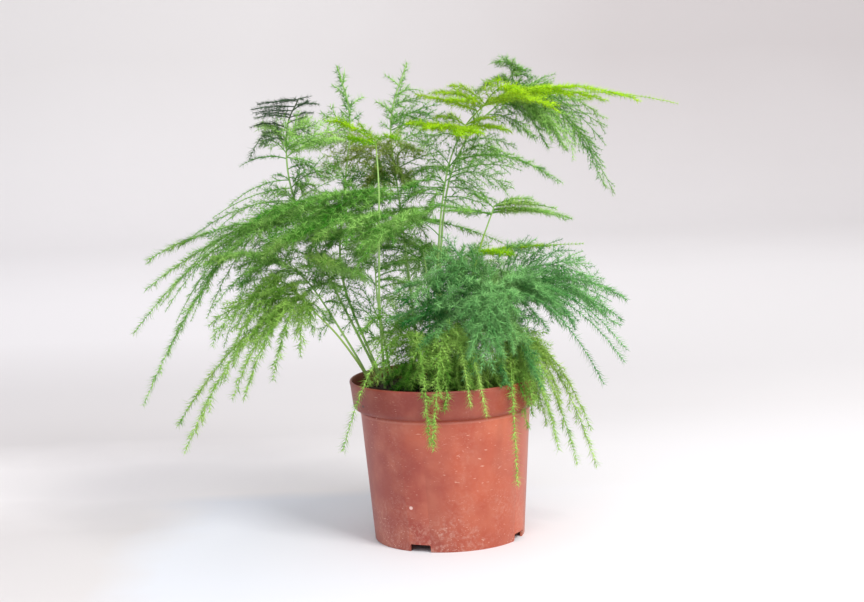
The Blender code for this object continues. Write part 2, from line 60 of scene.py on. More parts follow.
# Each stem: the points its centre line passes through, its CAD nodes as (node, tone, height
# where it ends), and its fronds. A frond leaves the stem at a height, with a heading from +X
# towards +Y, a reach, the rise of its tip, its arch, its half width and how light its green is.
# Fronds low down near the soil, under the canopy, have shades near 0: partly the needles' own darker green,
# partly painted shade from the canopy above.
stems = {
    "low_back": {
        "sisters": 1,
        "line": ((-53, 30, 98), (-58, 27, 118), (-76, 16, 155), (-98, 2, 194), (-118, -12, 213)),
        "nodes": (("stem_low_back", "leaf_green", None),),
        "fronds": (
            (209, -164, 57, 3, 8, 26, 0.5),
            (187, -78, 70, 28, 10, 24, 0.5),
            (209, -154, 57, -28, 10, 7, 0.4),
            (211, -145, 35, -16, 6, 24, 0.45, "mist"),
            (199, -135, 42, -16, 8, 20, 0.7, "mist"),
            (204, 143, 33, 20, 6, 22, 0.4, "mist"),
            (192, -138, 45, -22, 10, 20, 0.95),
            (193, -42, 37, 15, 8, 16, 0.5, "mist"),
            (205, -172, 43, -43, 10, 22, 0.5, "lace"),
            (186, -44, 29, 4, 5, 16, 0.5, "mist"),
            (176, -36, 14, -1, 3, 10, 0.4, "mist"),
            (209, -57, 19, 11, 4, 16, 0.4, "mist"),
            (170, -75, 4, -6, 3, 10, 0.4, "lace"),
            (160, -150, 16, -9, 4, 10, 0.45, "lace"),
        ),
    },
    "low_front": {
        "sisters": 0,
        "line": ((-53, 18, 98), (-57, 14, 118), (-76, -3, 152), (-95, -20, 177), (-104, -28, 190)),
        "nodes": (("stem_low_front", "fresh_green", None),),
        "fronds": (
            (187, -149, 97, -103, 20, 13, 0.65),
            (185, -174, 95, -90, 14, 10, 0.45),
            (186, -137, 66, -65, 14, 13, 0.6),
            (184, -124, 72, -62, 16, 10, 0.55),
            (186, -111, 53, -53, 10, 10, 0.5),
            (183, -92, 40, -34, 8, 11, 0.45),
            (181, -79, 31, -19, 5, 9, 0.4),
            (188, 180, 67, -21, 8, 12, 0.45, "mist"),
            (187, -153, 54, -33, 14, 17, 0.55, "mist"),
            (186, -145, 34, -35, 10, 15, 0.6, "mist"),
            (186, -73, 19, -16, 6, 16, 0.45, "lace"),
            (180, -45, 20, -9, 4, 12, 0.4, "lace"),
            (187, -161, 66, -25, 12, 20, 0.5, "mist"),
            (187, -164, 36, -1, 12, 16, 0.5, "mist"),
        ),
    },
    "arching": {
        "sisters": 0,
        "line": (
            (-47, 42, 98),
            (-51, 39, 118),
            (-83, 27, 193),
            (-107, 16, 259),
            (-108, 8, 305),
            (-98, 2, 328),
        ),
        "nodes": (("stem_arching", "leaf_green", 292), ("tiers_dark", "dark_green", None)),
        "fronds": (
            (262, -19, 31, 11, 5, 18, 0.35, "lace"),
            (285, 21, 43, 10, 5, 16, 0.85, "blade"),
            (246, -157, 125, -134, 30, 12, 0.5),
            (240, 176, 131, -84, 20, 9, 0.5),
            (246, 162, 129, -61, 8, 10, 0.5),
            (236, -160, 119, -20, 10, 12, 0.45),
            (284, 164, 37, -5, 4, 6, 0.05, "tier"),
            (244, -173, 84, -78, 28, 12, 0.45, "rods"),
            (240, 171, 100, -77, 26, 10, 0.45, "rods"),
            (242, 167, 114, -68, 20, 10, 0.45, "rods"),
            (238, -161, 76, -68, 24, 12, 0.45, "lace"),
            (262, 171, 61, -21, 5, 5, 0.35, "rods"),
            (268, -156, 48, -16, 5, 5, 0.35, "lace"),
            (252, 164, 92, -32, 10, 6, 0.4, "lace"),
            (268, -146, 14, 4, 2, 5, 0.05, "tier"),
            (276, -22, 21, 2, 2, 5, 0.05, "tier"),
            (250, 35, 26, 5, 6, 20, 0.4, "lace"),
            (270, -40, 23, -9, 2, 18, 0.35, "mist"),
            (290, 39, 55, 10, 5, 18, 0.6, "mist"),
            (290, -18, 32, 6, 3, 12, 0.5, "mist"),
            (326, -151, 31, -1, 1, 10, 0.4, "tier"),
            (327, -144, 14, 1, 0, 7, 0.2, "tier"),
            (327.5, 39, 8, 1, 0, 7, 0.2, "tier"),
            (322, 162, 33, -1, 1, 10, 0.4, "tier"),
            (319, -156, 30, 0, 1, 10, 0.45, "tier"),
            (316, 141, 29, 1, 1, 9, 0.45, "tier"),
            (314, -139, 30, 1, 2, 10, 0.4, "tier"),
            (306, -151, 30, 2, 4, 9, 0.3, "tier"),
            (304, 155, 24, 4, 2, 8, 0.35, "tier"),
            (323, 37, 20, 0, 1, 9, 0.4, "tier"),
            (319, -23, 15, 7, 1, 8, 0.3, "tier"),
            (314, 19, 18, 3, 1, 8, 0.4, "tier"),
            (310, 32, 15, 3, 1, 9, 0.4, "tier"),
            (302, 37, 20, 4, 1, 12, 1.2, "mist"),
            (297, -150, 20, 0, 3, 12, 1.2, "mist"),
            (298, 170, 29, -14, 12, 6, 1.2),
            (291, -156, 15, 18, 4, 17, 0.7, "mist"),
            (290, -28, 13, 21, 5, 15, 0.7, "mist"),
            (288, 162, 19, 8, 5, 12, 0.6, "mist"),
            (289, -59, 16, 6, 2, 8, 0.3, "blade"),
            (250, 163, 27, 6, 7, 9, 0.4, "mist"),
            (255, -64, 13, 9, 5, 15, 0.35, "lace"),
            (243, 173, 95, -83, 22, 11, 0.45, "rods"),
            (246, 174, 63, -15, 12, 8, 0.4, "rods"),
            (240, 176, 106, -68, 22, 11, 0.45, "rods"),
            (291, 26, 18, 20, 4, 14, 0.75, "mist"),
            (290, -103, 8, 15, 4, 12, 0.75, "mist"),
            (250, -126, 17, 10, 4, 12, 0.4, "mist"),
            (176, -158, 11, 5, 4, 14, 0.4, "lace"),
            (165, -120, 7, 0, 3, 12, 0.4, "lace"),
            (243, -165, 62, -97, 18, 10, 0.45, "lace"),
            (246, -173, 86, -65, 16, 10, 0.45, "rods"),
            (285, -25, 29, -15, 3, 14, 0.45, "mist"),
        ),
    },
    "upright": {
        "sisters": 1,
        "plume": 305,
        "line": (
            (-43, 32, 98),
            (-49, 33, 118),
            (-74, 36, 193),
            (-69, 40, 258),
            (-63, 42, 312),
            (-71, 42, 350),
        ),
        "nodes": (("stem_upright", "leaf_green", None),),
        "fronds": (
            (194, 112, 62, 2, 8, 22, 0.4, "mist"),
            (240, 134, 95, -18, 10, 25, 0.4),
            (223, -134, 80, -6, 8, 22, 0.35),
            (318, 10, 11, 8, 1, 4, 0.6),
            (327, 190, 11, 9, 1, 4, 0.6),
            (336, 80, 9, 8, 1, 3, 0.6),
            (215, -137, 22, -9, 6, 22, 0.45, "mist"),
            (212, 23, 26, -11, 6, 20, 0.45, "mist"),
            (236, -16, 49, 15, 4, 10, 0.1, "blade"),
            (300, -158, 21, 13, 4, 12, 0.5, "mist"),
            (262, -133, 11, 13, 6, 18, 0.4, "mist"),
            (255, -83, 14, 5, 6, 16, 0.4, "mist"),
            (180, -93, 6, -6, 4, 14, 0.4, "lace"),
            (170, -62, 5, -10, 4, 12, 0.4, "lace"),
            (160, -160, 12, -12, 3, 8, 0.35, "lace"),
            (176, -158, 21, -16, 5, 12, 0.45, "lace"),
            (190, -48, 16, 8, 5, 14, 0.4, "mist"),
        ),
    },
    "front": {
        "sisters": 1,
        "line": (
            (-44, 5, 98),
            (-44, 1, 118),
            (-45, -14, 173),
            (-43, -34, 218),
            (-41, -44, 265),
            (-42, -46, 299),
        ),
        "nodes": (("stem_front", "leaf_green", 288), ("crown_front_lime", "lime_green", None)),
        "fronds": (
            (295, -150, 36, 18, 4, 18, 0.35, "blade"),
            (296, -53, 25, 2, 4, 10, 0.3, "blade"),
            (294, 131, 27, 3, 2, 14, 0.3, "blade"),
        ),
    },
    "short": {
        "line": ((-38, 18, 98), (-40, 18, 118), (-47, 18, 174), (-48, 14, 204)),
        "nodes": (("stem_short", "leaf_green", None),),
        "fronds": (
            (148, -158, 22, -10, 3, 7, 0.6),
            (130, -165, 15, -9, 2, 5, 0.6),
            (184, 5, 34, 2, 3, 7, 0.5),
            (196, 46, 46, 5, 4, 8, 0.5),
            (201, -163, 18, 5, 2, 7, 0.35, "tier"),
            (198, 11, 27, 5, 2, 7, 0.35, "tier"),
            (193, -14, 24, 5, 2, 7, 0.35, "tier"),
            (189, 17, 20, 2, 2, 7, 0.35, "tier"),
            (186, 150, 12, 11, 2, 6, 0.35, "tier"),
            (150, 168, 29, 26, 6, 22, 0.35, "lace"),
            (156, 159, 23, 35, 6, 20, 0.35, "lace"),
            (140, 170, 22, 13, 4, 9, 0.4, "mist"),
            (196, -40, 12, 4, 2, 8, 0.4, "tier"),
            (190, 0, 24, -3, 3, 9, 0.5, "blade"),
            (204, -150, 16, -5, 3, 10, 0.35, "mist"),
        ),
    },
    "middle": {
        "sisters": 0,
        "plume": 300,
        "line": (
            (-17, 27, 98),
            (-18, 30, 118),
            (-23, 40, 180),
            (-28, 48, 240),
            (-33, 53, 306),
            (-19, 56, 350),
        ),
        "nodes": (("stem_middle", "leaf_green", None),),
        "fronds": (
            (236, 17, 80, -26, 3, 6, 0.3),
            (272, 140, 76, -6, 10, 23, 0.45, "olive"),
            (285, 168, 68, 6, 8, 18, 0.45, "olive"),
            (262, 112, 72, -18, 10, 18, 0.45, "olive"),
            (313, 200, 12, 9, 1, 4, 0.6),
            (323, 10, 12, 9, 1, 4, 0.6),
            (333, 170, 10, 8, 1, 3, 0.6),
            (270, -20, 45, 14, 3, 8, 0.3, "lace"),
            (262, -64, 28, -1, 5, 20, 0.35, "olive"),
            (280, -147, 37, 6, 5, 22, 0.45, "olive"),
            (258, 166, 41, 4, 6, 22, 0.35, "mist"),
            (285, 33, 36, 9, 6, 22, 0.4, "mist"),
            (276, -63, 39, 10, 6, 19, 0.4, "olive"),
            (268, -82, 40, 0, 4, 21, 0.35, "olive"),
            (266, -141, 32, -7, 6, 19, 0.35, "olive"),
            (125, -143, 20, -6, 4, 20, 0.05, "mist"),
            (150, -132, 19, -4, 6, 22, 0.3, "mist"),
            (165, 151, 29, 7, 8, 22, 0.35, "lace"),
            (300, -5, 42, 9, 2, 15, 0.25, "lace"),
            (296, 14, 33, 16, 3, 14, 0.3, "lace"),
            (304, -6, 38, 14, 3, 10, 0.3, "lace"),
            (318, 0, 24, 5, 2, 8, 0.45, "lace"),
            (308, 12, 29, 4, 2, 10, 0.45, "lace"),
            (312, -180, 5, 2, 2, 8, 0.45, "lace"),
            (284, -110, 17, 2, 6, 18, 0.55, "olive"),
            (236, -32, 23, -17, 4, 14, 0.35, "blade"),
            (326, -16, 22, 2, 3, 8, 0.45, "lace"),
            (262, -125, 17, 17, 4, 14, 0.4, "mist"),
            (318, 9, 25, 1, 3, 8, 0.45, "lace"),
        ),
    },
    "thin": {
        "sisters": 1,
        "line": ((-11, 13, 98), (-11, 15, 118), (-9, 20, 174), (-12, 26, 212)),
        "nodes": (("stem_thin", "leaf_green", None),),
        "fronds": (
            (211, 164, 73, 12, 10, 22, 0.35, "bared"),
            (212, -159, 56, 11, 8, 22, 0.4, "bared"),
            (211, -144, 42, 9, 5, 12, 0.35, "blade"),
            (212, -51, 13, 0, 4, 9, 0.4, "mist"),
            (135, -158, 22, 3, 6, 22, 0.15, "mist"),
            (122, -109, 26, -6, 5, 22, 0, "mist"),
            (160, -150, 41, -8, 6, 18, 0.5, "mist"),
            (168, -158, 33, 8, 6, 18, 0.3, "mist"),
            (120, -126, 39, -7, 5, 22, 0, "mist"),
            (126, -148, 38, -10, 5, 18, 0.05, "mist"),
            (150, 163, 21, 11, 6, 20, 0.1, "mist"),
        ),
    },
    "centre": {
        "sisters": 1,
        "line": (
            (-4, -4, 98),
            (-4, -4, 118),
            (-2, -3, 195),
            (6, 0, 262),
            (20, -5, 300),
            (41, -12, 323),
        ),
        "nodes": (("stem_centre", "leaf_green", 298), ("crown_lime", "lime_green", None)),
        "fronds": (
            (259, -157, 136, -8, 6, 40, 0.3, "bared"),
            (232, -147, 138, -2, 13, 40, 0.35, "bared"),
            (275, -39, 99, -12, 14, 11, 0.4, "lace"),
            (264, -54, 74, -3, 9, 20, 0.4, "lace"),
            (262, -146, 36, -2, 5, 12, 0.3, "bared"),
            (268, -21, 57, 3, 6, 12, 0.45, "lace"),
            (273, -33, 46, 12, 10, 20, 0.45, "mist"),
            (314, 172, 44, 13, 2, 13, 0.55, "blade"),
            (303, -20, 35, -4, 2, 11, 0.5, "blade"),
            (318, -161, 36, 11, 3, 18, 0.55, "blade"),
            (320, 0, 111, -3, 11, 15, 0.6, "blade"),
            (302, -160, 40, 6, 1, 19, 0.55, "blade"),
            (318, 8, 89, 0, 9, 22, 0.6, "blade"),
            (317, -27, 58, -3, 8, 18, 0.7, "blade"),
            (245, 173, 84, -21, 6, 30, 0.35),
            (319, -59, 47, 9, 8, 18, 0.55, "blade"),
            (302, -95, 40, -4, 2, 13, 0.5, "blade"),
            (140, -145, 21, 5, 6, 24, 0.12, "mist"),
            (128, -51, 19, -4, 6, 24, 0.05, "mist"),
            (255, -117, 22, -7, 4, 12, 0.4, "mist"),
            (318, 0, 140, -4, 9, 3, 0.6, "tier"),
            (303, -131, 45, 2, 1, 16, 0.6, "blade"),
            (303, 32, 31, -2, 1, 15, 0.6, "blade"),
            (301, -74, 37, -2, 1, 14, 0.6, "blade"),
            (316, -126, 37, 8, 2, 15, 0.55, "blade"),
            (319, -157, 25, 14, 3, 13, 0.55, "blade"),
            (304, 151, 21, 7, 2, 15, 0.5, "blade"),
            (304, -28, 22, 5, 2, 15, 0.5, "blade"),
            (296, -167, 26, -3, 4, 14, 0.4, "lace"),
            (256, 162, 20, -3, 4, 13, 0.4, "lace"),
            (262, 147, 18, 4, 4, 10, 0.4, "lace"),
            (160, -148, 15, 2, 5, 14, 0.4, "mist"),
            (292, -112, 11, 22, 4, 10, 0.4, "lace"),
            (276, -152, 22, 15, 4, 14, 0.4, "lace"),
            (270, 144, 17, 9, 4, 10, 0.4, "lace"),
            (248, -156, 25, -22, 4, 10, 0.35, "lace"),
            (252, -18, 33, -7, 3, 9, 0.4, "lace"),
            (250, 22, 21, -12, 3, 9, 0.4, "lace"),
        ),
    },
    "tall": {
        "sisters": 0,
        "needle": 0.8,
        "line": (
            (2, 10, 98),
            (2, 10, 118),
            (0, 13, 193),
            (9, 18, 262),
            (30, 25, 302),
            (48, 26, 318),
            (61, 20, 346),
        ),
        "nodes": (("stem_tall", "leaf_green", None),),
        "fronds": (
            (343, -129, 23, 5, 3, 9, 0.35, "blade"),
            (341, -25, 14, -1, 2, 8, 0.35, "blade"),
            (337, 0, 15, -2, 3, 9, 0.35, "blade"),
            (344, 147, 9, 7, 1, 7, 0.3, "blade"),
            (340, -68, 15, 4, 2, 10, 0.4, "mist"),
            (332, -136, 14, 4, 2, 10, 0.45, "blade"),
            (334, -137, 30, -4, 3, 12, 0.5, "mist"),
            (320, -35, 64, -38, 14, 20, 0.75, "lace"),
            (326, 26, 92, -81, 24, 19, 0.35, "rods"),
            (331, -31, 54, -41, 9, 11, 0.3, "lace"),
            (322, 0, 76, -25, 10, 18, 0.35, "rods"),
            (318, 8, 74, -38, 12, 20, 0.45, "lace"),
            (316, -12, 47, -19, 8, 11, 0.6, "mist"),
            (310, -30, 40, -19, 6, 14, 0.45, "mist"),
            (290, 38, 49, -7, 5, 10, 0.4, "lace"),
            (278, -4, 78, -20, 10, 8, 0.4, "lace"),
            (269, 124, 76, -22, 12, 20, 0.4),
            (317, -33, 46, -26, 13, 17, 0.6, "mist"),
            (324, 16, 74, -58, 24, 15, 0.35, "rods"),
            (342, -97, 12, -10, 1, 12, 0.45, "mist"),
            (262, -28, 30, -11, 5, 14, 0.45, "lace"),
            (258, 0, 38, -15, 4, 10, 0.4, "lace"),
            (326, 15, 77, -75, 26, 16, 0.35, "lace"),
            (330, 0, 71, -26, 9, 16, 0.4, "lace"),
            (319, -33, 55, -34, 15, 14, 0.7, "mist"),
            (340, -137, 6, 5, 2, 9, 0.35, "blade"),
            (334, -153, 9, 3, 2, 9, 0.4, "blade"),
            (326, 5, 75, -43, 16, 14, 0.35, "rods"),
            (324, 11, 75, -56, 20, 14, 0.35, "rods"),
            (328, 4, 59, -13, 6, 10, 0.4, "lace"),
            (300, -79, 14, 29, 6, 12, 0.4, "lace"),
            (306, -120, 14, 10, 5, 10, 0.4, "lace"),
            (322, -30, 48, -34, 10, 13, 0.5, "lace"),
            (324, -29, 50, -41, 12, 14, 0.42, "mist"),
            (320, -31, 39, -35, 10, 13, 0.4, "mist"),
        ),
    },
    "forked": {
        "sisters": 1,
        "line": ((7, 2, 98), (9, -1, 118), (25, -16, 200), (41, -26, 247)),
        "nodes": (("stem_forked_lime", "lime_green", 226), ("fork_green", "leaf_green", None)),
        "fronds": (
            (213, -8, 76, 4, 1, 8, 0.35, "tier"),
            (211, 6, 49, 4, 2, 14, 0.35, "blade"),
            (210, -61, 46, 5, 2, 14, 0.3, "blade"),
            (243, -20, 59, -6, 4, 8, 0.45, "blade"),
            (240, -160, 48, 11, 1, 11, 0.35, "blade"),
            (246, 5, 45, -4, 3, 9, 0.45, "blade"),
            (241, -142, 49, 6, 1, 9, 0.35, "blade"),
            (246, -23, 35, 2, 2, 8, 0.5, "blade"),
            (125, -5, 46, -9, 6, 22, 0.05, "mist"),
            (130, -72, 25, -12, 6, 22, 0.05, "mist"),
            (244, -29, 58, -7, 4, 6, 0.4, "blade"),
            (245, 160, 18, 11, 2, 9, 0.35, "blade"),
            (246, 39, 38, 2, 3, 7, 0.4, "blade"),
            (242, -22, 60, -5, 3, 6, 0.4, "blade"),
            (241, -8, 41, 0, 2, 8, 0.4, "blade"),
        ),
    },
    "blue_front": {
        "sisters": 0,
        "line": ((14, -9, 98), (17, -10, 118), (27, -14, 150), (42, -20, 188)),
        "nodes": (("stem_blue_front", "blue_green", None),),
        "fronds": (
            (184, -6, 75, 0, 18, 26, 0.53, "mist"),
            (186, -8, 84, -28, 18, 22, 0.48, "mist"),
            (181, -29, 103, -36, 22, 4, 0.38),
            (180, -44, 101, -56, 24, 4, 0.38),
            (176, -18, 97, -43, 24, 4, 0.38),
            (182, -29, 62, -19, 16, 26, 0.53, "mist"),
            (180, -80, 61, -32, 16, 20, 0.48, "mist"),
            (182, -96, 80, -34, 22, 32, 0.58),
            (183, -142, 74, 6, 20, 30, 0.53, "mist"),
            (176, -55, 49, -49, 12, 20, 0.53, "mist"),
            (170, -108, 53, -35, 10, 24, 0.48, "mist"),
            (168, -78, 46, -45, 10, 22, 0.43, "mist"),
            (174, -141, 63, -22, 8, 24, 0.48, "mist"),
            (180, -138, 53, 2, 6, 26, 0.58, "mist"),
            (176, -161, 78, -7, 6, 20, 0.48, "mist"),
            (184, -172, 72, 5, 8, 20, 0.53, "mist"),
            (160, -149, 39, -27, 4, 20, 0.2, "mist"),
            (186, -19, 18, 28, 8, 22, 0.53, "mist"),
            (178, -108, 58, -14, 12, 26, 0.53, "mist"),
            (172, -86, 60, -22, 14, 26, 0.48, "mist"),
            (184, -154, 45, 12, 8, 24, 0.53, "mist"),
            (166, -55, 61, -45, 12, 20, 0.43, "mist"),
            (182, -26, 55, -22, 18, 16, 0.53, "mist"),
            (184, -11, 74, -26, 16, 14, 0.48, "rods"),
            (176, -108, 59, -28, 12, 24, 0.48, "mist"),
            (176, -152, 72, 8, 6, 24, 0.12, "mist"),
            (170, -146, 71, -1, 6, 24, 0.08, "mist"),
            (164, -148, 57, -4, 5, 22, 0.08, "mist"),
            (178, -10, 47, -17, 14, 20, 0.43, "mist"),
            (174, -27, 44, -17, 12, 16, 0.38, "mist"),
            (180, -17, 34, -7, 12, 20, 0.38, "mist"),
        ),
    },
    "blue_back": {
        "sisters": 0,
        "line": ((19, 7, 98), (22, 8, 118), (31, 12, 145), (46, 18, 178)),
        "nodes": (("stem_blue_back", "blue_green", None),),
        "fronds": (
            (174, 35, 87, 14, 14, 22, 0.5, "rods"),
            (170, 11, 100, -4, 18, 12, 0.35),
            (174, 160, 56, 26, 12, 24, 0.4, "mist"),
            (172, 22, 55, -7, 10, 20, 0.45, "mist"),
            (172, 0, 75, -10, 14, 17, 0.4, "mist"),
            (168, 6, 94, -15, 18, 12, 0.3),
            (176, 132, 33, 23, 8, 14, 0.45, "mist"),
            (160, 32, 38, -29, 6, 20, 0.2, "mist"),
            (176, -27, 13, 40, 2, 4, 0, "tier"),
            (176, -30, 24, 45, 4, 4, 0, "tier"),
            (177, 12, 47, 38, 8, 5, 0.1, "tier"),
            (177, 20, 60, 28, 10, 5, 0.1, "tier"),
            (176, 24, 49, 13, 8, 22, 0.45, "rods"),
            (165, 41, 24, -18, 6, 24, 0.3, "mist"),
            (172, 6, 96, -4, 16, 12, 0.35, "rods"),
            (168, 7, 49, -7, 14, 20, 0.3, "mist"),
            (172, 9, 86, -6, 14, 8, 0.4, "rods"),
        ),
    },
    "rim_left": {
        "sisters": 0,
        "line": ((-14, -13, 98), (-15, -16, 118), (-17, -22, 137), (-22, -32, 160)),
        "nodes": (("stem_rim_left", "fresh_green", None),),
        "fronds": (
            (156, -149, 62, -78, 24, 5, 0.5),
            (154, -80, 53, -71, 28, 10, 0.6),
            (150, 165, 34, -8, 10, 14, 0.4, "mist"),
            (156, -170, 36, 6, 12, 18, 0.4, "mist"),
            (138, -160, 17, -12, 4, 16, 0.15, "mist"),
            (134, -56, 24, -9, 3, 18, 0.15, "mist"),
            (148, -153, 26, -13, 8, 18, 0.3, "mist"),
            (142, -114, 20, -22, 6, 16, 0.2, "mist"),
            (150, -63, 22, -10, 6, 20, 0.4, "mist"),
            (140, -165, 37, -19, 6, 12, 0.45, "mist"),
            (130, -114, 22, -11, 4, 18, 0, "mist"),
            (152, -74, 21, -32, 12, 16, 0.4, "mist"),
        ),
    },
    "rim_middle": {
        "sisters": 0,
        "line": ((2, -18, 98), (3, -22, 118), (4, -27, 137), (7, -34, 160)),
        "nodes": (("stem_rim_middle", "fresh_green", None),),
        "fronds": (
            (156, -66, 55, -52, 24, 8, 1),
            (154, -105, 60, -73, 30, 11, 0.58),
            (152, -77, 53, -42, 22, 8, 1),
            (150, -146, 36, -28, 10, 18, 0.43, "mist"),
            (145, -30, 40, -26, 10, 18, 0.43, "mist"),
            (134, 33, 18, -14, 3, 18, 0.15, "mist"),
            (157, -72, 37, -34, 12, 20, 0.48, "mist"),
            (158, -28, 42, -25, 8, 20, 0.43, "mist"),
            (132, 22, 40, -12, 3, 18, 0.1, "mist"),
            (128, -95, 24, -9, 5, 20, 0.05, "mist"),
            (126, -37, 33, -10, 5, 20, 0.05, "mist"),
            (150, -96, 44, -42, 18, 14, 0.48, "mist"),
            (126, -75, 29, -11, 6, 18, 0.1, "mist"),
            (126, -22, 38, -13, 6, 18, 0.1, "mist"),
            (132, -41, 27, -19, 6, 20, 0.15, "mist"),
            (140, -37, 30, -30, 8, 14, 0.3, "mist"),
            (128, -83, 18, -9, 5, 18, 0.05, "mist"),
            (152, -116, 24, -38, 14, 16, 0.43, "mist"),
            (154, -79, 24, -46, 16, 15, 0.48, "mist"),
            (152, -54, 27, -46, 16, 14, 0.53, "mist"),
            (150, -31, 35, -39, 12, 16, 0.43, "mist"),
        ),
    },
    "rim_right": {
        "sisters": 0,
        "line": ((21, -18, 98), (28, -20, 118), (38, -23, 136), (50, -28, 152)),
        "nodes": (("stem_rim_right", "fresh_green", None),),
        "fronds": (
            (149, -88, 45, -97, 26, 6, 0.62),
            (148, -14, 49, -91, 28, 11, 0.62),
            (145, 24, 73, -99, 34, 11, 0.62),
            (146, -46, 50, -73, 26, 10, 0.62),
            (143, 7, 64, -65, 28, 11, 0.62),
            (140, 22, 31, -40, 16, 16, 0.45, "mist"),
            (132, 22, 22, -14, 4, 16, 0.15, "mist"),
            (148, -14, 20, -36, 10, 20, 0.62, "mist"),
            (150, 15, 38, -51, 20, 17, 0.62, "mist"),
            (146, -53, 31, -42, 16, 15, 0.62, "mist"),
            (128, -34, 9, -8, 3, 15, 0.1, "mist"),
            (144, -49, 26, -41, 14, 14, 0.62, "mist"),
            (142, -7, 32, -57, 22, 14, 0.62, "mist"),
            (141, -58, 28, -31, 10, 14, 0.35, "mist"),
            (143, -12, 38, -68, 26, 12, 0.62, "mist"),
            (145, 0, 26, -34, 10, 18, 0.4, "mist"),
            (138, -26, 27, -44, 16, 14, 0.35, "mist"),
            (136, -32, 26, -24, 10, 18, 0.3, "mist"),
            (140, -33, 22, -55, 18, 12, 0.5, "mist"),
            (144, -14, 26, -47, 14, 12, 0.55, "mist"),
            (144, -79, 22, -39, 14, 14, 0.6, "mist"),
        ),
    },
    "rear": {
        "sisters": 0,
        "line": ((2, 34, 98), (2, 37, 118), (4, 46, 155), (0, 60, 198)),
        "nodes": (("stem_rear", "leaf_green", None),),
        "fronds": (
            (186, 58, 84, -26, 20, 32, 0.4, "mist"),
            (194, 105, 84, -22, 22, 32, 0.4, "mist"),
            (192, 158, 84, 8, 12, 28, 0.4, "mist"),
            (160, 100, 64, -50, 28, 22, 0.4, "mist"),
            (150, 40, 76, -58, 30, 22, 0.4, "mist"),
            (140, -118, 29, -9, 8, 26, 0.05, "mist"),
            (135, -37, 30, -11, 8, 26, 0.05, "mist"),
            (150, 6, 55, -21, 10, 26, 0.1, "mist"),
            (128, -86, 50, -10, 6, 24, 0, "mist"),
        ),
    },
}

# what a frond is like where neither its stem nor its manner says
habit = {
    "sisters": 0,
    "needle": 1.0,
    "plume": 0,
    "roll": (6, 30),
    "droop": 0.26,
    "age": 0.0,
    "every": 4.8,
    "bushy": 1.0,
    "bare": 0.0,
}
manners = {
    "blade": {"roll": (0, 7), "droop": 0.10, "needle": 0.8, "sisters": 0, "every": 3.6},  # seen from its edge
    "tier": {"roll": (0, 4), "droop": 0.03, "needle": 0.6, "sisters": 0, "every": 3.4},
    "lace": {"roll": (55, 80), "droop": 0.10, "needle": 0.75, "sisters": 0, "bushy": 0.6},  # turned to the front
    "bared": {"sisters": 1, "bare": 0.3, "roll": (0, 14)},  # no sprays close to its stem
    "rods": {"roll": (60, 80), "droop": 0.05, "needle": 0.62, "sisters": 0, "bushy": 0.25},
    "mist": {"roll": (25, 75), "droop": 0.12, "needle": 0.95, "sisters": 0},
    "olive": {"roll": (25, 75), "droop": 0.12, "needle": 0.9, "sisters": 0, "age": 0.6},
}

growth = {
    "stemFoot": 101.5,  # where a stem stands in its hole
    "stemRadius": 1.1,
    "stemTipRadius": 0.5,
    "midribRadius": 0.5,
    "midribTipRadius": 0.18,
    "sprayRadius": 0.26,
    "sprayAngle": 48,
    "sprayAngleAtTip": 28,
    "tilt": 0.3,
    "narrow": 6.5,
    "twigEvery": 4.2,
    "twigShare": 0.40,
    "longestTwig": 11.0,
    "twigRadius": 0.15,
    "twigAngle": 48,
    "tuftEvery": 2.6,
    "shortestSpray": 4.2,
}

needles = {"length": 6.2, "core": 0.33, "around": 3, "lean": (38, 64)}


def cameraAtPhoto():
    turn, down, roll = (math.radians(photoFrame[k]) for k in ("turn", "lookDown", "roll"))
    ahead = Vector((math.sin(turn), math.cos(turn), 0.0))
    right = Vector((math.cos(turn), -math.sin(turn), 0.0))
    forward = ahead * math.cos(down) - upward * math.sin(down)
    top = upward * math.cos(down) + ahead * math.sin(down)
    side = right * math.cos(roll) + top * math.sin(roll)
    top = top * math.cos(roll) - right * math.sin(roll)
    lens = bpy.data.cameras.new("photo camera")
    lens.lens = photoFrame["lens"]
    lens.sensor_width = photoFrame["sensor"]
    lens.clip_start = 0.05
    camera = bpy.data.objects.new("photo camera", lens)
    camera.matrix_world = Matrix.Translation(Vector(photoFrame["place"]) * mm) @ Matrix(
        (side, top, -forward)
    ).transposed().to_4x4()
    bpy.context.scene.collection.objects.link(camera)
    bpy.context.scene.camera = camera


class Value:
    # wraps a socket, so that a sum or product of values adds its Math nodes

    def __init__(self, tree, socket):
        self.tree = tree
        self.socket = socket

    def maths(self, operation, first, second):
        node = self.tree.nodes.new("ShaderNodeMath")
        node.operation = operation
        for socket, value in zip(node.inputs, (first, second)):
            if isinstance(value, Value):
                self.tree.links.new(value.socket, socket)
            else:
                socket.default_value = value
        return Value(self.tree, node.outputs[0])

    def __add__(self, other):
        return self.maths("ADD", self, other)

    def __radd__(self, other):
        return self.maths("ADD", other, self)

    def __sub__(self, other):
        return self.maths("SUBTRACT", self, other)

    def __rsub__(self, other):
        return self.maths("SUBTRACT", other, self)

    def __mul__(self, other):
        return self.maths("MULTIPLY", self, other)

    def __rmul__(self, other):
        return self.maths("MULTIPLY", other, self)

    def __lt__(self, other):
        return self.maths("LESS_THAN", self, other)

    def __gt__(self, other):
        return self.maths("GREATER_THAN", self, other)


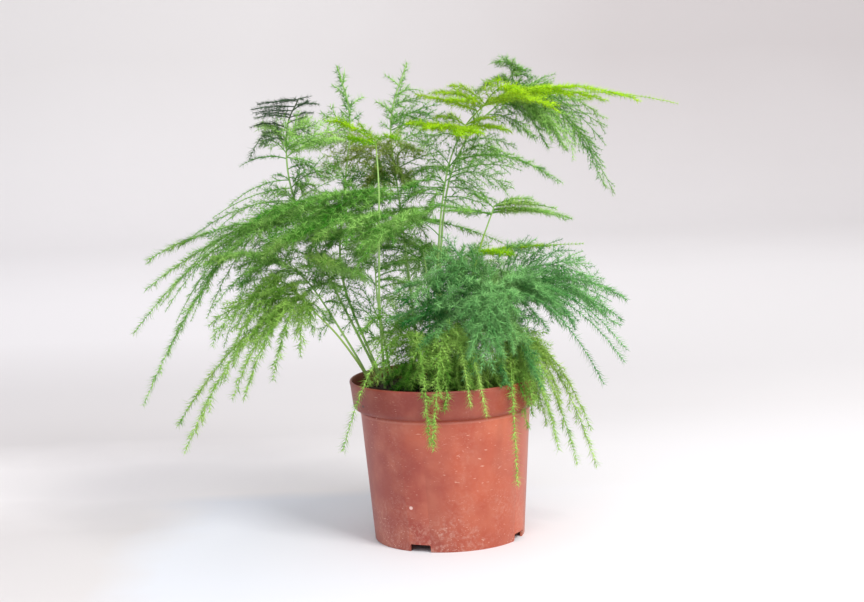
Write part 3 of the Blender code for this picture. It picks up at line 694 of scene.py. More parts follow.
class Finish:
    # a material and the one way that its nodes are added

    def __init__(self, name, roughness):
        self.material = bpy.data.materials.new(name)
        self.material.use_nodes = True
        self.tree = self.material.node_tree
        self.shader = self.tree.nodes["Principled BSDF"]
        self.shader.inputs["Roughness"].default_value = roughness

    def add(self, kind, settings, sockets, out=0):
        node = self.tree.nodes.new(kind)
        for name, setting in settings.items():
            if name == "stops":
                ramp = node.color_ramp.elements
                while len(ramp) < len(setting):
                    ramp.new(1.0)
                for stop, (place, colour) in zip(ramp, setting):
                    stop.position = place
                    stop.color = (*colour, 1.0)
            else:
                setattr(node, name, setting)
        for name, value in sockets.items():
            self.join(value, node.inputs[name])
        return Value(self.tree, node.outputs[out])

    def join(self, value, socket):
        if isinstance(value, Value):
            self.tree.links.new(value.socket, socket)
        elif socket.type == "RGBA":
            socket.default_value = (*value, 1.0)
        else:
            socket.default_value = value

    def feed(self, name, value):
        self.join(value, self.shader.inputs[name])

    def ramp(self, value, stops, out=0):
        return self.add("ShaderNodeValToRGB", {"stops": stops}, {"Fac": value}, out)

    def mix(self, share, first, second, blend="MIX"):
        settings = {"data_type": "RGBA", "blend_type": blend}
        return self.add("ShaderNodeMix", settings, {0: share, 6: first, 7: second}, 2)

    def mask(self, value, low, high):
        # 0 below low, 1 above high
        sockets = {"Value": value, "From Min": low, "From Max": high}
        return self.add("ShaderNodeMapRange", {"clamp": True}, sockets)

    def place(self):
        return self.add("ShaderNodeTexCoord", {}, {}, 3)

    def noise(self, scale, detail=3.0, stretch=(1, 1, 1), shift=(0, 0, 0), roughness=0.5):
        mapping = {"Vector": self.place(), "Scale": stretch, "Location": shift}
        sockets = {
            "Vector": self.add("ShaderNodeMapping", {}, mapping),
            "Scale": scale,
            "Detail": detail,
            "Roughness": roughness,
        }
        return self.add("ShaderNodeTexNoise", {}, sockets)

    def bump(self, height, distance, strength=1.0):
        sockets = {"Height": height, "Distance": distance, "Strength": strength}
        self.feed("Normal", self.add("ShaderNodeBump", {}, sockets))


def smoothLine(points, steps=8):
    # a Catmull-Rom line through the points
    knots = [Vector(p) for p in points]
    knots = [knots[0] * 2 - knots[1]] + knots + [knots[-1] * 2 - knots[-2]]
    line = []
    for a, b, c, d in zip(knots, knots[1:], knots[2:], knots[3:]):
        for step in range(steps):
            t = step / steps
            bend = (b * 2 + (c - a) * t + (a * 2 - b * 5 + c * 4 - d) * t**2) / 2
            line.append(bend + (b * 3 - a - c * 3 + d) * t**3 / 2)
    line.append(knots[-2])
    return line


def atHeight(line, height):
    for low, high in zip(line, line[1:]):
        if high.z >= height:
            return low.lerp(high, (height - low.z) / (high.z - low.z))
    return line[-1].copy()


def lengthOf(points):
    return sum((b - a).length for a, b in zip(points, points[1:]))


class Skeleton:
    # twigs as chains of edges, and a loose point for each tuft of needles

    def __init__(self):
        self.bm = bmesh.new()
        layers = self.bm.verts.layers
        self.radius = layers.float.new("radius")
        self.size = layers.float.new("size")
        self.turn = layers.float_vector.new("turn")
        self.shade = layers.float.new("shade")
        self.stalk = layers.float.new("stalk")
        self.age = layers.float.new("age")
        self.tufts = 0

    def twig(self, points, thick, thin, shade, stalk):
        last = None
        for number, point in enumerate(points):
            vert = self.bm.verts.new(point * mm)
            share = number / (len(points) - 1)
            vert[self.radius] = (thick + (thin - thick) * share) * mm
            vert[self.shade] = shade
            vert[self.stalk] = stalk
            vert[self.age] = self.old
            if last:
                self.bm.edges.new((last, vert))
            last = vert

    def tuftsAlong(self, points, start, shade, draw, size=1.0):
        # needle tufts at an even spacing along points, smaller towards the end
        whole = lengthOf(points)
        every = growth["tuftEvery"]
        travelled = 0.0
        target = start + draw.uniform(0, 0.4) * every
        for a, b in zip(points, points[1:]):
            run = (b - a).length
            along = (b - a).normalized()
            while target <= travelled + run:
                point = a.lerp(b, (target - travelled) / run)
                vert = self.bm.verts.new(point * mm)
                spin = Matrix.Rotation(draw.uniform(0, math.tau), 3, "Z")
                turn = along.to_track_quat("Z", "Y").to_matrix() @ spin
                vert[self.turn] = Vector(turn.to_euler())
                taper = min(1.0, 0.72 + (whole - target) / 14)
                vert[self.size] = size * taper * draw.uniform(0.85, 1.12)
                vert[self.shade] = shade + draw.uniform(-0.22, 0.22)
                vert[self.age] = self.old
                self.tufts += 1
                target += every * draw.uniform(0.85, 1.15)
            travelled += run


def widthShare(t):
    # how long a side spray is against the frond's half width: longest near the frond's foot
    return min(1.0, 0.45 + 3.0 * t) * (1.0 - 0.86 * t)


def growSpray(skeleton, root, along, flat, side, length, lean, shade, manner, draw):
    # one side spray in the frond's plane, with finer twigs on both its sides
    out = flat.cross(along) * side
    way = along * math.cos(lean) + out * math.sin(lean)
    curl = along * (0.12 * length) - upward * (manner["droop"] * length)
    path = [root + way * (length * s) + curl * s**2 for s in (0, 0.3, 0.65, 1.0)]
    thick = growth["sprayRadius"]
    skeleton.twig(path, thick, growth["twigRadius"], shade - 0.25, 0.1)
    skeleton.tuftsAlong(path, 1.5, shade, draw, manner["needle"])
    count = int(length / growth["twigEvery"])
    for number in range(1, count):
        s = (number + draw.uniform(-0.3, 0.3)) / count
        rest = length * (1 - s)
        size = min(growth["longestTwig"], growth["twigShare"] * rest + 2.0) * draw.uniform(0.75, 1.15)
        size *= manner["bushy"]
        if size < 2.6:
            continue
        point = root + way * (length * s) + curl * s**2
        ahead = (way * length + curl * 2 * s).normalized()
        sideways = flat.cross(ahead).normalized() * (1 if number % 2 else -1)
        angle = math.radians(growth["twigAngle"] + draw.uniform(-8, 8))
        lift = flat * draw.uniform(-0.25, 0.25)
        heading = (ahead * math.cos(angle) + sideways * math.sin(angle) + lift).normalized()
        sag = upward * (-0.08 * size)
        twig = [point, point + heading * size + sag]
        skeleton.twig(twig, growth["twigRadius"], growth["twigRadius"] * 0.7, shade, 0.0)
        skeleton.tuftsAlong(twig, 1.8, shade, draw, manner["needle"])


def growFrond(skeleton, root, frond, manner, draw):
    # a frond's midrib with its side sprays, alternating left and right
    height, heading, reach, rise, arch, halfWidth, shade = frond[:7]
    skeleton.old = manner["age"]
    angle = math.radians(heading)
    tip = root + Vector((reach * math.cos(angle), reach * math.sin(angle), rise))
    pull = (root + tip) / 2 + Vector((0, 0, 2 * arch))

    def midrib(t):
        return root * (1 - t) ** 2 + pull * (2 * t * (1 - t)) + tip * t**2

    path = [midrib(i / 16) for i in range(17)]
    length = lengthOf(path)
    skeleton.twig(path, growth["midribRadius"], growth["midribTipRadius"], shade - 0.35, 0.35)
    bare = manner["bare"]
    skeleton.tuftsAlong(path, (0.12 + bare) * length, shade, draw, manner["needle"])
    roll = math.radians(draw.uniform(*manner["roll"]))
    roll = math.copysign(roll, -math.cos(angle))
    across = Vector((math.sin(angle), -math.cos(angle), 0.0))
    narrow = halfWidth <= growth["narrow"]
    count = max(1, round((1 - bare) * length / (manner["every"] * (0.8 if narrow else 1))))
    for number in range(count):
        own = (number + 0.6 + draw.uniform(-0.25, 0.25)) / (count + 0.3)
        t = bare + (1 - bare) * own
        along = (midrib(min(1.0, t + 0.02)) - midrib(t - 0.02)).normalized()
        fall = max(0.0, -along.z)
        tilt = roll + draw.uniform(-1, 1) * (growth["tilt"] + fall * 0.8)
        flat = along.cross(across).normalized()
        flat = Matrix.Rotation(tilt, 3, along) @ flat
        open_ = growth["sprayAngle"] + (growth["sprayAngleAtTip"] - growth["sprayAngle"]) * t
        lean = math.radians(open_ + draw.uniform(-7, 7))
        size = halfWidth * widthShare(own) / math.sin(lean) * draw.uniform(0.72, 1.05)
        if size < growth["shortestSpray"]:
            continue
        light = shade + draw.uniform(-0.16, 0.16)
        side = 1 if number % 2 else -1
        growSpray(skeleton, midrib(t), along, flat, side, size, lean, light, manner, draw)


def sisterOf(frond, draw):
    # a smaller frond that leaves the stem close to another one
    height, heading, reach, rise, arch, halfWidth, shade = frond[:7]
    return (
        height - draw.uniform(3, 12),
        heading + draw.choice((-1, 1)) * draw.uniform(10, 30),
        reach * draw.uniform(0.6, 0.92),
        rise * draw.uniform(0.7, 1.0) + draw.uniform(-8, 6),
        arch * draw.uniform(0.8, 1.3),
        halfWidth * draw.uniform(0.7, 1.0),
        shade + draw.uniform(-0.15, 0.05),
    )


def growPlume(skeleton, core, manner, draw):
    # the upright tip of a stem: short rising sprays all round it, longest at the bottom
    top = core[-1].z
    start = height = manner["plume"]
    skeleton.old = 0.0
    turn = draw.uniform(0, math.tau)
    while height < top - 2:
        point = atHeight(core, height)
        along = (atHeight(core, min(top, height + 3)) - point).normalized()
        turn += math.radians(137.5)
        out = Vector((math.cos(turn), math.sin(turn), 0.0))
        flat = along.cross(out).normalized()
        left = (top - height) / (top - start)
        size = 2.6 + 11.0 * left**2.2 * draw.uniform(0.7, 1.1)
        lean = math.radians(42 + draw.uniform(-8, 8))
        growSpray(skeleton, point, along, flat, 1, size, lean, 0.28, manner, draw)
        height += draw.uniform(1.8, 2.6)
    skeleton.tuftsAlong([atHeight(core, start), core[-1]], 1.0, 0.28, draw)


def makeTuft(name, seed):
    # needles all round a twig: a six-sided bead whose faces are raised to points
    draw = random.Random(seed)
    bm = bmesh.new()
    bmesh.ops.create_uvsphere(
        bm, u_segments=needles["around"], v_segments=2, radius=needles["core"] * mm
    )
    isTip = bm.verts.layers.float.new("tip")
    raised = bmesh.ops.poke(bm, faces=bm.faces)["verts"]
    for vert in raised:
        lean = math.radians(needles["lean"][vert.co.z < 0] + draw.uniform(-10, 10))
        around = math.atan2(vert.co.y, vert.co.x) + draw.uniform(-0.3, 0.3)
        reach = needles["length"] * mm * draw.uniform(0.7, 1.15)
        out = Vector((math.cos(around), math.sin(around), 0.0))
        vert.co = (upward * math.cos(lean) + out * math.sin(lean)) * reach
        vert[isTip] = 1.0
    bmesh.ops.recalc_face_normals(bm, faces=bm.faces)
    mesh = bpy.data.meshes.new(name)
    bm.to_mesh(mesh)
    bm.free()
    return bpy.data.objects.new(name, mesh)


def leafTree(tufts):
    # turns a skeleton into a mesh: tubes along its twigs, a tuft on each of its loose points
    tree = bpy.data.node_groups.new("twigs and needles", "GeometryNodeTree")
    tree.interface.new_socket("Geometry", in_out="INPUT", socket_type="NodeSocketGeometry")
    tree.interface.new_socket("Geometry", in_out="OUTPUT", socket_type="NodeSocketGeometry")

    def add(kind, settings, sockets):
        node = tree.nodes.new(kind)
        for name, setting in settings.items():
            setattr(node, name, setting)
        for name, value in sockets.items():
            if isinstance(value, bpy.types.NodeSocket):
                tree.links.new(value, node.inputs[name])
            else:
                node.inputs[name].default_value = value
        return node.outputs

    def read(name, kind):
        return add("GeometryNodeInputNamedAttribute", {"data_type": kind}, {"Name": name})[0]

    start = add("NodeGroupInput", {}, {})[0]
    radius = read("radius", "FLOAT")
    twigs = add("GeometryNodeMeshToCurve", {}, {"Mesh": start})[0]
    isStem = add("FunctionNodeCompare", {}, {0: radius, 1: 0.52 * mm})[0]
    parts = add("GeometryNodeSeparateGeometry", {"domain": "CURVE"}, {"Geometry": twigs, "Selection": isStem})
    shapes = []
    for curves, sides in zip(parts, (7, 3)):
        ring = add("GeometryNodeCurvePrimitiveCircle", {}, {"Resolution": sides, "Radius": 1.0})[0]
        sockets = {"Curve": curves, "Profile Curve": ring, "Fill Caps": True}
        tube = add("GeometryNodeCurveToMesh", {}, sockets)
        shapes.append(tube[0])
        if "Scale" in tube[0].node.inputs:
            tree.links.new(radius, tube[0].node.inputs["Scale"])
    group = bpy.data.collections.new("tufts")
    for tuft in tufts:
        group.objects.link(tuft)
    source = {"Collection": group, "Separate Children": True, "Reset Children": True}
    size = read("size", "FLOAT")
    sockets = {
        "Points": start,
        "Selection": add("FunctionNodeCompare", {}, {0: size, 1: 0.01})[0],
        "Instance": add("GeometryNodeCollectionInfo", {}, source)[0],
        "Pick Instance": True,
        "Rotation": add("FunctionNodeEulerToRotation", {}, {0: read("turn", "FLOAT_VECTOR")})[0],
        "Scale": size,
    }
    placed = add("GeometryNodeInstanceOnPoints", {}, sockets)[0]
    shapes.append(add("GeometryNodeRealizeInstances", {}, {"Geometry": placed})[0])
    join = tree.nodes.new("GeometryNodeJoinGeometry")
    for shape in reversed(shapes):
        tree.links.new(shape, join.inputs[0])
    end = tree.nodes.new("NodeGroupOutput")
    tree.links.new(join.outputs[0], end.inputs[0])
    return tree


def meshOf(obj, name, material):
    # the object as its modifiers leave it, as a plain mesh with one material
    graph = bpy.context.evaluated_depsgraph_get()
    mesh = bpy.data.meshes.new_from_object(obj.evaluated_get(graph))
    mesh.name = name
    mesh.materials.clear()
    mesh.materials.append(material)
    for polygon in mesh.polygons:
        polygon.material_index = 0
        polygon.use_smooth = True
    return mesh


def addPiece(name, mesh, node):
    piece = bpy.data.objects.new(name, mesh)
    bpy.context.scene.collection.objects.link(piece)
    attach(piece, "root")
    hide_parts(node)
    return piece


# A green is the dark and light ends of its needles, and its stalks' own colour.
greens = {
    "leaf_green": ((0.034, 0.262, 0.006), (0.520, 0.900, 0.225), (0.360, 0.580, 0.180)),
    "fresh_green": ((0.062, 0.300, 0.008), (0.550, 0.890, 0.190), (0.380, 0.570, 0.150)),
    "blue_green": ((0.020, 0.200, 0.030), (0.360, 0.770, 0.260), (0.180, 0.400, 0.130)),
    "lime_green": ((0.125, 0.430, 0.002), (0.590, 0.950, 0.014), (0.360, 0.580, 0.100)),
    "dark_green": ((0.016, 0.048, 0.022), (0.120, 0.230, 0.100), (0.070, 0.110, 0.050)),
}


def greenFinish(slot):
    dark, light, stalk = greens[slot]
    finish = Finish(slot + " needles", 0.55)

    def read(name):
        return finish.add("ShaderNodeAttribute", {"attribute_name": name}, {}, 2)

    patches = finish.noise(28.0, detail=2.0)
    share = read("shade") + read("tip") * 0.25 + (patches - 0.5) * 0.9
    green = finish.mix(share, dark, light)
    # some sprays have turned yellow or olive
    old = finish.mask(finish.noise(17.0, detail=1.0, shift=(4, 2, 6)), 0.54, 0.72)
    olive = finish.mix(share, (0.125, 0.195, 0.012), (0.600, 0.690, 0.150))
    green = finish.mix(old * 0.3 + read("age"), green, olive)
    finish.feed("Base Color", finish.mix(read("stalk"), green, stalk))
    finish.shader.inputs["Specular IOR Level"].default_value = 0.12
    return finish.material


def growPlant():
    tree = leafTree([makeTuft(f"tuft {n}", n) for n in range(3)])
    finishes = {slot: greenFinish(slot) for slot in greens}
    total = 0
    for stem in stems.values():
        manner = {**habit, **stem}
        line = smoothLine(stem["line"])
        foot = growth["stemFoot"]
        for node, slot, end in stem["nodes"]:
            top = end or line[-1].z
            skeleton = Skeleton()
            skeleton.old = 0.0
            low, high = line[0].z, line[-1].z
            core = [atHeight(line, foot + (top - foot) * i / 24) for i in range(25)]
            thin = growth["stemTipRadius"] - growth["stemRadius"]
            radii = [growth["stemRadius"] + thin * (p.z - low) / (high - low) for p in (core[0], core[-1])]
            skeleton.twig(core, *radii, 0.5, 1.0)
            for number, frond in enumerate(stem["fronds"]):
                if foot < frond[0] <= top:
                    draw = random.Random(f"{node} {number}")
                    own = {**manner, **manners[frond[7]]} if len(frond) > 7 else manner
                    family = [frond]
                    if frond[5] > growth["narrow"]:
                        family += [sisterOf(frond, draw) for _ in range(own["sisters"])]
                    for row in family:
                        root = atHeight(core, max(core[0].z, row[0]))
                        growFrond(skeleton, root, row, own, draw)
            if manner["plume"] and not end:
                draw = random.Random(node + " plume")
                growPlume(skeleton, core, manner, draw)
            seed = bpy.data.meshes.new("skeleton")
            skeleton.bm.to_mesh(seed)
            skeleton.bm.free()
            holder = bpy.data.objects.new("skeleton", seed)
            bpy.context.scene.collection.objects.link(holder)
            holder.modifiers.new("leaf", "NODES").node_group = tree
            mesh = meshOf(holder, node + "_leafy", finishes[slot])
            bpy.data.objects.remove(holder)
            addPiece(node + "_leafy", mesh, node)
            faces = sum(len(polygon.vertices) - 2 for polygon in mesh.polygons)
            total += faces
            print(f"{node}: {skeleton.tufts} tufts, {faces} faces")
            foot = top
    print(f"plant: {total} faces")


pot = {
    "wall": 1.9,
    "steps": 128,
    "band": 22.0,
    "notchAngles": (-113, -24, 66, 156),
    "notch": (16.0, 5.5, 10.0),
}


def makePot():
    low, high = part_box("pot")
    rim = (high.x - low.x) / 2 / mm
    top = high.z / mm
    bandFoot = top - pot["band"]
    outline = (
        (0.0, 7.0), (51.6, 7.0), (53.2, 5.4), (53.6, 0.5), (54.1, 0.0), (54.9, 0.0), (55.6, 0.9),
        (62.5, bandFoot - 3.6), (62.9, bandFoot - 2.8), (62.9, bandFoot - 1.6), (62.6, bandFoot - 0.9),
        (63.2, bandFoot - 0.1), (65.4, bandFoot + 0.4), (66.8, bandFoot + 1.3), (67.7, bandFoot + 3.0),
        (68.1, bandFoot + 5.5), (69.5, top - 4.5), (rim, top - 1.6), (rim - 0.2, top - 0.5),
        (rim - 0.9, top), (rim - 1.6, top - 0.4), (rim - 1.9, top - 1.6), (67.4, top - 6.0),
        (66.1, bandFoot + 4.0), (64.4, bandFoot + 1.8), (61.6, bandFoot + 0.6), (60.8, bandFoot - 1.5),
        (54.4, 10.0), (52.8, 8.8), (0.0, 8.8),
    )
    bm = bmesh.new()
    verts = [bm.verts.new((x * mm, 0.0, z * mm)) for x, z in outline]
    edges = [bm.edges.new(pair) for pair in zip(verts, verts[1:])]
    bmesh.ops.spin(
        bm,
        geom=verts + edges,
        cent=(0, 0, 0),
        axis=(0, 0, 1),
        angle=math.tau,
        steps=pot["steps"],
        use_merge=True,
    )
    bmesh.ops.remove_doubles(bm, verts=bm.verts, dist=1e-6)
    bmesh.ops.recalc_face_normals(bm, faces=bm.faces)
    mesh = bpy.data.meshes.new("pot_shell")
    bm.to_mesh(mesh)
    bm.free()
    shell = bpy.data.objects.new("pot_shell", mesh)
    bpy.context.scene.collection.objects.link(shell)
    wide, high, deep = pot["notch"]
    bm = bmesh.new()
    for angle in pot["notchAngles"]:
        made = bmesh.ops.create_cube(bm, size=1.0)["verts"]
        bmesh.ops.scale(bm, vec=Vector((deep * 2, wide, high * 2)) * mm, verts=made)
        bmesh.ops.translate(bm, vec=(55.6 * mm, 0, 0), verts=made)
        turn = Matrix.Rotation(math.radians(angle), 3, "Z")
        bmesh.ops.rotate(bm, cent=(0, 0, 0), matrix=turn, verts=made)
    edges = [e for e in bm.edges if abs(e.verts[0].co.z - e.verts[1].co.z) < 1e-6]
    bmesh.ops.bevel(
        bm, geom=edges, offset=1.0 * mm, affect="EDGES", segments=2, profile=0.5, material=-1
    )
    cutterMesh = bpy.data.meshes.new("notches")
    bm.to_mesh(cutterMesh)
    bm.free()
    cutter = bpy.data.objects.new("notches", cutterMesh)
    bpy.context.scene.collection.objects.link(cutter)
    cut = shell.modifiers.new("notches", "BOOLEAN")
    cut.object = cutter
    cut.operation = "DIFFERENCE"
    cut.solver = "EXACT"
    mesh = meshOf(shell, "pot_shell", potFinish())
    mesh.set_sharp_from_angle(angle=math.radians(50))
    bpy.data.objects.remove(shell)
    bpy.data.objects.remove(cutter)
    addPiece("pot_shell", mesh, "pot")
    print("pot:", len(mesh.polygons), "faces")


def potFinish():
    finish = Finish("scuffed terracotta plastic", 0.5)
    split = finish.add("ShaderNodeSeparateXYZ", {}, {"Vector": finish.place()}, 0)
    x = split
    z = Value(finish.tree, split.socket.node.outputs[2])
    cloud = finish.noise(22.0, detail=4.0)
    # painted shade and painted light: the pot is darker and pinker on its left and brighter orange on its right,
    # with a cloudy edge between
    side = finish.mask(x * 8.0 + (cloud - 0.5) * 1.2, -0.25, 0.90)
    base = finish.mix(side, (0.330, 0.060, 0.038), (0.575, 0.112, 0.042))
    blotch = finish.mask(finish.noise(60.0, detail=5.0, shift=(3, 1, 2)), 0.42, 0.68)
    base = finish.mix(blotch * 0.3, base, (0.62, 0.22, 0.13))
    # soft upright orange streaks, stronger below the band and only on the brighter right side: partly the
    # plastic's own streaks, partly a painted highlight
    band = finish.mask(z, 0.0968, 0.0978)
    streaksAndSheen = finish.mask(finish.noise(46.0, detail=2.0, stretch=(1, 1, 0.14), shift=(9, 2, 0)), 0.40, 0.62)
    high = finish.mask(z, 0.035, 0.085) - band * 0.8
    base = finish.mix(streaksAndSheen * high * side * 0.55, base, (0.80, 0.20, 0.085))
    # the band is painted darker than the wall below it: painted shade from the foliage over it
    bandPaintedShade = finish.mix(side, (0.68, 0.58, 0.57), (0.60, 0.50, 0.48))
    base = finish.mix(band, base, bandPaintedShade, "MULTIPLY")
    # a faint pale line on the small ledge under the band: a painted highlight
    lipPaintedHighlight = finish.mask(z, 0.0945, 0.0953) - finish.mask(z, 0.0962, 0.097)
    base = finish.mix(lipPaintedHighlight * 0.16, base, (0.75, 0.36, 0.28))
    # chalky dust that settles towards the foot and in patches
    low = 1.0 - finish.mask(z, 0.0, 0.045)
    grain = finish.mask(finish.noise(420.0, detail=3.0), 0.45, 0.72)
    patch = finish.mask(finish.noise(34.0, detail=3.0, shift=(1, 5, 2)), 0.40, 0.66)
    dust = grain * patch * (low * 0.75 + 0.12)
    base = finish.mix(dust, base, (0.66, 0.42, 0.34))
    # short pale scratches
    scratch = finish.mask(finish.noise(230.0, detail=1.0, stretch=(1, 1, 3.6), shift=(7, 2, 1)), 0.70, 0.76)
    where = finish.mask(finish.noise(26.0, detail=1.0, shift=(2, 8, 4)), 0.46, 0.6)
    marks = scratch * where
    base = finish.mix(marks * 0.55, base, (0.80, 0.52, 0.40))
    # fine hairlines and specks all over, thicker low down
    hair = finish.mask(finish.noise(640.0, detail=1.0, stretch=(1, 1, 2.2), shift=(3, 3, 6)), 0.66, 0.74)
    spread = finish.mask(finish.noise(40.0, detail=2.0, shift=(6, 1, 9)), 0.38, 0.62)
    base = finish.mix(hair * spread * (low * 0.35 + 0.30), base, (0.82, 0.56, 0.46))
    # a pale fleck low on the front and a dark nick on the band
    y = Value(finish.tree, split.socket.node.outputs[1])
    for (left, height), radius, tone in (((-27.3, 32.8), 1.5, (0.86, 0.62, 0.56)), ((-59.3, 105.2), 1.1, (0.05, 0.02, 0.015))):
        gap = (x - left * mm) * (x - left * mm) + (z - height * mm) * (z - height * mm)
        spot = (1.0 - finish.mask(gap, (radius * 0.6 * mm) ** 2, (radius * mm) ** 2)) * (y < 0.0)
        base = finish.mix(spot * 0.8, base, tone)
    finish.feed("Base Color", base)
    finish.feed("Roughness", 0.42 + dust * 0.4 + (cloud - 0.5) * 0.15)
    finish.bump(finish.noise(900.0, detail=2.0) * 0.3 + marks, 0.00006, 0.6)
    return finish.material


soil = {"steps": 64, "below": 9.5, "crumbs": 420}


def makeSoil():
    low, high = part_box("soil")
    rim = (high.x - low.x) / 2 / mm
    top = high.z / mm - 1.0
    bm = bmesh.new()
    outline = ((0.0, 9.2), (52.0, 9.2), (53.8, 10.4), (60.2, 97.0), (rim, 101.0), (rim, top - 1.2))
    rings = 22
    profile = list(outline) + [(rim * (1 - i / rings), top) for i in range(1, rings + 1)]
    verts = [bm.verts.new((x * mm, 0.0, z * mm)) for x, z in profile]
    edges = [bm.edges.new(pair) for pair in zip(verts, verts[1:])]
    bmesh.ops.spin(
        bm,
        geom=verts + edges,
        cent=(0, 0, 0),
        axis=(0, 0, 1),
        angle=math.tau,
        steps=soil["steps"],
        use_merge=True,
    )
    bmesh.ops.remove_doubles(bm, verts=bm.verts, dist=1e-6)
    draw = random.Random(5)
    for vert in bm.verts:
        if vert.co.z > (top - 0.1) * mm:
            x, y = vert.co.x / mm, vert.co.y / mm
            swell = math.sin(x * 0.13 + 0.8) * math.cos(y * 0.11 - 0.4)
            lumps = math.sin(x * 0.41 + y * 0.23) * math.sin(y * 0.37 - x * 0.19 + 1.1)
            vert.co.z += (0.9 * swell + 0.6 * lumps + draw.uniform(-0.45, 0.45)) * mm
    for _ in range(soil["crumbs"]):
        reach = (rim - 3) * math.sqrt(draw.random())
        angle = draw.uniform(0, math.tau)
        made = bmesh.ops.create_icosphere(bm, subdivisions=1, radius=draw.uniform(0.5, 1.7) * mm)["verts"]
        shape = Vector((draw.uniform(0.7, 1.3), draw.uniform(0.7, 1.3), draw.uniform(0.5, 0.9)))
        bmesh.ops.scale(bm, vec=shape, verts=made)
        turn = Matrix.Rotation(draw.uniform(0, math.tau), 3, Vector((draw.random(), draw.random(), 1)))
        bmesh.ops.rotate(bm, cent=(0, 0, 0), matrix=turn, verts=made)
        place = Vector((reach * math.cos(angle), reach * math.sin(angle), top + draw.uniform(-0.2, 0.8)))
        bmesh.ops.translate(bm, vec=place * mm, verts=made)
    bmesh.ops.recalc_face_normals(bm, faces=bm.faces)
    mesh = bpy.data.meshes.new("soil_bed")
    bm.to_mesh(mesh)
    bm.free()
    finish = Finish("potting soil", 0.95)
    clump = finish.noise(260.0, detail=5.0)
    tone = [(0.30, (0.010, 0.006, 0.004)), (0.55, (0.050, 0.028, 0.015)), (0.75, (0.130, 0.080, 0.045))]
    finish.feed("Base Color", finish.ramp(clump, tone))
    finish.bump(finish.noise(700.0, detail=4.0), 0.0008)
    mesh.materials.append(finish.material)
    addPiece("soil_bed", mesh, "soil")
    print("soil:", len(mesh.polygons), "faces")


studio = {"sky": (0.93, 0.92, 0.96), "skyStrength": 0.80}


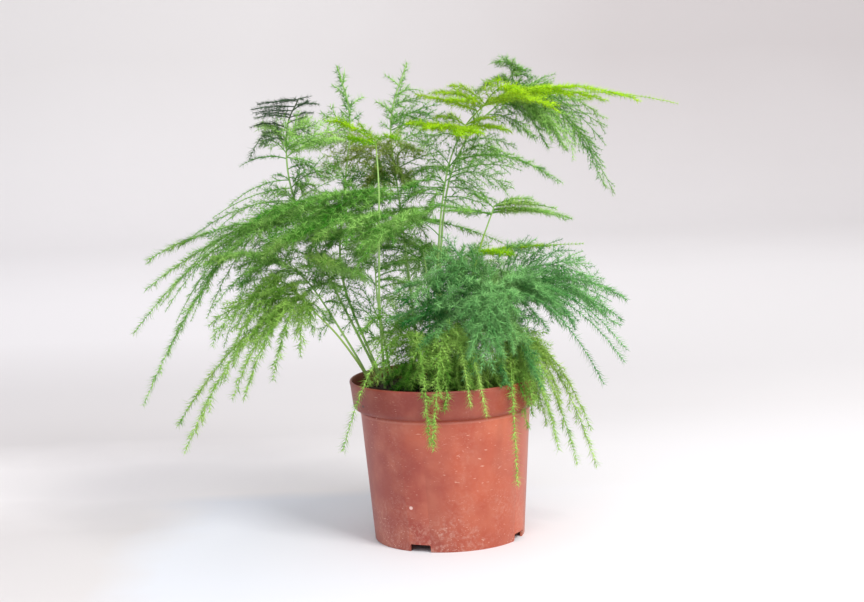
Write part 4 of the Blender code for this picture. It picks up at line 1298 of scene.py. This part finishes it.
def makeStudio():
    bm = bmesh.new()
    # a sweep: the floor runs back and curves up into the backdrop
    outline = [(-9.0, 0.0), (2.3, 0.0)]
    for step in range(1, 13):
        angle = math.radians(7.5 * step)
        outline.append((2.3 + 0.7 * math.sin(angle), 0.7 - 0.7 * math.cos(angle)))
    outline.append((3.0, 3.6))
    verts = [bm.verts.new((-8.0, y, z)) for y, z in outline]
    edges = [bm.edges.new(pair) for pair in zip(verts, verts[1:])]
    made = bmesh.ops.extrude_edge_only(bm, edges=edges)["geom"]
    bmesh.ops.translate(bm, vec=(16, 0, 0), verts=[v for v in made if isinstance(v, bmesh.types.BMVert)])
    bmesh.ops.recalc_face_normals(bm, faces=bm.faces)
    mesh = bpy.data.meshes.new("studio_sweep")
    bm.to_mesh(mesh)
    bm.free()
    for polygon in mesh.polygons:
        polygon.use_smooth = True
    finish = Finish("pale studio paper", 0.8)
    split = finish.add("ShaderNodeSeparateXYZ", {}, {"Vector": finish.place()})
    x = split
    y, z = (Value(finish.tree, split.socket.node.outputs[n]) for n in (1, 2))
    cloud = finish.noise(1.6, detail=3.0) - 0.5
    ripple = finish.noise(7.0, detail=3.0) - 0.5
    left = finish.mask(cloud * 0.6 - x, -0.35, 0.35)
    # a whiter sheet lies under the pot; its edge shows only to the pot's left. The sheet is painted darker and
    # bluer towards its left, where the pot's shadow falls: painted shade
    sheet = finish.mix(finish.mask(x, -0.15, 0.15), (0.745, 0.775, 0.830), (0.87, 0.87, 0.885))
    open_ = finish.mask(x, -0.05, 0.20)
    behind = finish.mask(y + ripple * 0.03, 0.135, 0.165)
    beyond = finish.mask(y + cloud * 0.1, 0.13, 0.50)
    behind = behind + (beyond - behind) * open_
    beside = finish.mask(ripple * 0.12 - x, 0.19, 0.25)
    within = (1.0 - behind) * (1.0 - beside)
    # left of the sheet the paper is beige, darker in front, partly as a painted fold shadow; from about 0.06 to
    # 0.42 m back it is painted lighter, a painted light patch that cancels the leaves' cast shadow there
    pale = finish.mask(y + ripple * 0.1, 0.06, 0.16) - finish.mask(y + ripple * 0.1, 0.30, 0.42)
    leftNear = finish.mix(pale, (0.70, 0.68, 0.68), (0.88, 0.86, 0.86))
    near = finish.mix(left, (0.82, 0.81, 0.81), leftNear)
    near = finish.mix(within, near, sheet)
    middle = finish.mix(left, (0.825, 0.815, 0.815), (0.855, 0.845, 0.855))
    # the backdrop wall is grey, and painted darker on its right: painted shade
    wall = finish.mix(left, (0.60, 0.57, 0.565), (0.71, 0.695, 0.69))
    paper = finish.mix(finish.mask(y, 0.45, 1.1), near, middle)
    # far out to either side the floor has one even tone
    paper = finish.mix(finish.mask(x * x, 1.2, 2.4), paper, (0.83, 0.82, 0.825))
    rise = y * 0.25 + z + cloud * 0.2
    finish.feed("Base Color", finish.mix(finish.mask(rise, 0.40, 1.05), paper, wall))
    mesh.materials.append(finish.material)
    sweep = bpy.data.objects.new("studio_sweep", mesh)
    bpy.context.scene.collection.objects.link(sweep)

    world = bpy.data.worlds.new("studio")
    world.use_nodes = True
    world.node_tree.nodes["Background"].inputs["Color"].default_value = (*studio["sky"], 1.0)
    world.node_tree.nodes["Background"].inputs["Strength"].default_value = studio["skyStrength"]
    bpy.context.scene.world = world
    for name, place, aim, size, power, colour in (
        ("key", (1.04, -1.34, 1.65), (0.0, 0.0, 0.18), 0.8, 40.0, (1.0, 0.97, 0.93)),
        ("fill", (-0.3, -1.7, 1.4), (0.0, 0.0, 0.18), 1.2, 8.0, (0.96, 0.97, 1.0)),
        ("backdrop light", (0.0, 1.0, 1.9), (0.0, 3.0, 1.6), 1.6, 16.0, (1.0, 0.98, 0.98)),
    ):
        light = bpy.data.lights.new(name, "AREA")
        light.size = size
        light.energy = power
        light.color = colour
        lamp = bpy.data.objects.new(name, light)
        turn = (Vector(aim) - Vector(place)).to_track_quat("-Z", "Y")
        lamp.matrix_world = Matrix.Translation(place) @ turn.to_matrix().to_4x4()
        bpy.context.scene.collection.objects.link(lamp)
    bpy.context.scene.view_settings.view_transform = "Standard"


cameraAtPhoto()
makeStudio()
makePot()
makeSoil()
growPlant()
